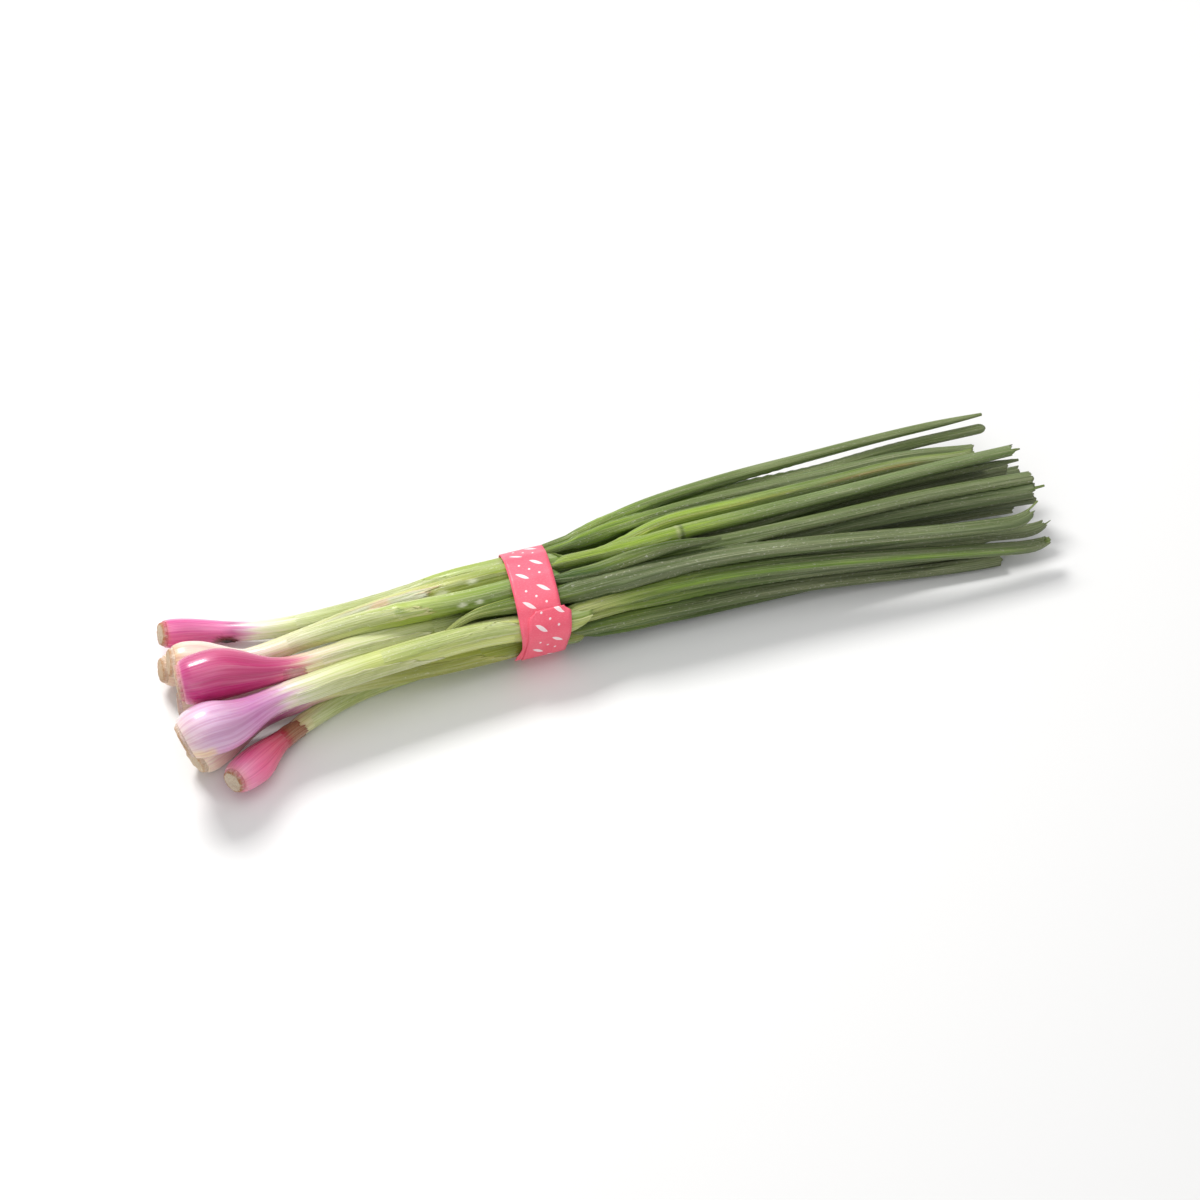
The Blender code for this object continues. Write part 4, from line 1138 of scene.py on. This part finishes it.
def build_strip(name, looks):
    """A narrow curved strip of leaf skin past the leaf's cut end."""
    line, end, radius = leaf_ends[looks["leaf"]]
    seed = sum(map(ord, name))
    u = np.linspace(0, 1, STRIP_ROWS)[:, None]
    v = np.linspace(0, 1, STRIP_COLUMNS)[None, :]
    low, high = (math.radians(a) for a in looks["angles"])
    width = (high - low) / 2 * (1 - 0.55 * u ** 2) * (1 + 0.12 * wavy(seed, 8 * u))
    angles = (low + high) / 2 + (2 * v - 1) * width
    start, stop = (r * MM for r in looks["run"])
    runs = end + start + (stop - start) * u
    middle, up, front, _, _ = line.at(runs[:, 0])
    out = outward(angles, up, front)
    high_side = radius - STRIP_INSET + looks["bend"] * u ** 2 + 0 * v
    outer = middle[:, None, :] + out * high_side[..., None]
    inner = outer - out * STRIP_THICK
    colour = mix(linear(104, 126, 50), linear(142, 160, 84), 0.5 + 0.5 * wavy(seed, 6 * v, 9 * u))
    places = np.stack([np.cos(angles), np.sin(angles), runs + 0 * v + seed % 7], axis=-1)
    make_patch(name, outer, inner, colour, places, leaf_material)


for name, looks in STRIPS.items():
    build_strip(name, looks)

# Paper band. A strip of pink satin paper, wound once round the bunch with its end laid over its start, and
# printed in white with two staggered rows of slanting grains and small dots between them.
BAND_WIDTH = 0.021
BAND_PAPER = 0.00025
BAND_START = 214.0
BAND_OVERLAP = 75.0
BAND_SKEW = 0.005
BAND_TILT = 0.06
BAND_STEPS = 220
BAND_COLUMNS = 12
BAND_LAYER = 0.0005
BAND_RIPPLE = 0.00018
BAND_INNER_SKEW = 0.0035
BAND_CORNER = 0.0035
BAND_LOWEST = 0.00005
BAND_PINK = (248, 100, 124)
PRINT_STEP = 0.0155
PRINT_LEAN = 0.7
GRAIN_HALF_LENGTH = 0.0030
GRAIN_HALF_WIDTH = 0.0012
DOT_RADIUS = 0.0006
PRINT_ROW = 0.0042
PRINT_STAGGER = 0.0036


def reach_at(outline, middle, angle):
    """How far the outline is from its middle, at an angle."""
    ray = np.array([math.cos(angle), math.sin(angle)])
    for a, b in zip(outline, np.roll(outline, -1, axis=0)):
        edge = b - a
        cross = ray[0] * edge[1] - ray[1] * edge[0]
        if abs(cross) < 1e-12:
            continue
        away = a - middle
        reach = (away[0] * edge[1] - away[1] * edge[0]) / cross
        share = (away[0] * ray[1] - away[1] * ray[0]) / cross
        if reach > 0 and -1e-6 <= share <= 1 + 1e-6:
            return reach
    return 0.02


def almond_mask(calc, across, along, place, shift):
    """A grain that leans across the strip; above zero inside it."""
    length = calc("SUBTRACT", across, place)
    side = calc("MULTIPLY_ADD", length, PRINT_LEAN, calc("SUBTRACT", along, shift))
    width = calc("POWER", calc("DIVIDE", length, GRAIN_HALF_LENGTH), 2.0)
    bulge = calc("MULTIPLY", calc("SUBTRACT", 1.0, width), GRAIN_HALF_WIDTH)
    return calc("SUBTRACT", bulge, calc("ABSOLUTE", side))


def dot_mask(calc, across, along, place, shift):
    """A small dot; above zero inside it."""
    x = calc("POWER", calc("SUBTRACT", across, place), 2.0)
    y = calc("POWER", calc("SUBTRACT", along, shift), 2.0)
    return calc("SUBTRACT", DOT_RADIUS, calc("SQRT", calc("ADD", x, y)))


def print_mask(calc, fade, across, run):
    """White shapes on the paper: slanting grains in two staggered rows, with small dots between them."""
    cell = calc("FRACT", calc("DIVIDE", run, PRINT_STEP))
    along = calc("MULTIPLY", calc("SUBTRACT", cell, 0.5), PRINT_STEP)
    row, stagger = PRINT_ROW, PRINT_STAGGER
    shapes = almond_mask(calc, across, along, -row, -stagger)
    for kind, place, shift in ((almond_mask, row, stagger), (dot_mask, -row, stagger),
                               (dot_mask, row, -stagger), (dot_mask, 0.0, 0.0)):
        shapes = calc("MAXIMUM", shapes, kind(calc, across, along, place, shift))
    return fade(shapes, -0.00005, 0.00008)


def paper_material():
    """Pink satin paper with fine fibres, and the white print a little worn."""
    material, tree, shader = new_material("band_paper")
    calc, fade, blend = shader_steps(tree)
    tint = add_node(tree, "ShaderNodeAttribute", attribute_name="tint").outputs["Color"]
    place = add_node(tree, "ShaderNodeAttribute", attribute_name="strand").outputs["Vector"]
    parts = tree.nodes.new("ShaderNodeSeparateXYZ")
    tree.links.new(place, parts.inputs[0])
    fibre = stretched_noise(tree, place, (900.0, 2600.0, 0.0), 4.0)
    cloud = stretched_noise(tree, place, (90.0, 60.0, 0.0), 2.0)
    colour = blend(fade(cloud, 0.35, 0.65, 0.0, 0.35), tint, (*linear(240, 78, 104), 1.0))
    colour = blend(fade(fibre, 0.45, 0.75, 0.0, 0.22), colour, (*linear(255, 178, 188), 1.0))
    mask = calc("MULTIPLY", print_mask(calc, fade, parts.outputs[0], parts.outputs[1]),
                fade(fibre, 0.25, 0.55, 0.72, 0.97))
    colour = blend(mask, colour, (*linear(255, 236, 238), 1.0))
    tree.links.new(colour, shader.inputs["Base Color"])
    tree.links.new(fade(cloud, 0.3, 0.7, 0.36, 0.5), shader.inputs["Roughness"])
    roughen(tree, shader, fibre, 0.25, 0.0002)
    return material


def build_band():
    """The paper strip with both its faces, its edges a little wavy."""
    outline = hull(corners("paper_band")[:, 1:])
    middle = outline.mean(axis=0)
    turn = 360.0 + BAND_OVERLAP
    swept = np.linspace(0, turn, BAND_STEPS)
    angles = np.radians(BAND_START - swept)
    reach = smooth([reach_at(outline, middle, a) for a in angles], 3)
    under = 1 - smoothstep(BAND_OVERLAP - 4, BAND_OVERLAP + 12, swept)
    reach = reach - BAND_LAYER * under - BAND_PAPER
    path = middle + np.column_stack([np.cos(angles), np.sin(angles)]) * reach[:, None]
    run = lengths(path)
    out = unit(path - middle)[:, None, :]
    share = np.linspace(-0.5, 0.5, BAND_COLUMNS + 1)[None, :]
    over = np.clip((swept - 360.0) / BAND_OVERLAP, 0, 1)
    skew = BAND_SKEW * over + BAND_TILT * path[:, 0] - BAND_INNER_SKEW * (1 - smoothstep(0, 30, swept))
    rounded = smoothstep(turn - 9, turn, swept)[:, None] * smoothstep(0.25, 0.5, np.abs(share))
    x = share * BAND_WIDTH + skew[:, None] - np.sign(share) * BAND_CORNER * rounded
    waves = np.where(share > 0, wavy(3, run[:, None] * 260), wavy(9, run[:, None] * 260))
    ripple = BAND_RIPPLE * smoothstep(0.30, 0.5, np.abs(share)) * waves

    def face(thick, lowest):
        flat = path[:, None, :] + out * (ripple + thick)[..., None]
        flat[..., 1] = np.maximum(flat[..., 1], lowest)
        return np.concatenate([x[..., None], flat], axis=-1)

    places = np.stack([v + 0 * x for v in (share * BAND_WIDTH, run[:, None], swept[:, None])], axis=-1)
    tint = np.broadcast_to(linear(*BAND_PINK), places.shape)
    make_patch("band_paper_strip", face(BAND_PAPER, BAND_LOWEST), face(0.0, BAND_PAPER * 0.2), tint, places,
               paper_material(), ["paper_band"])


build_band()
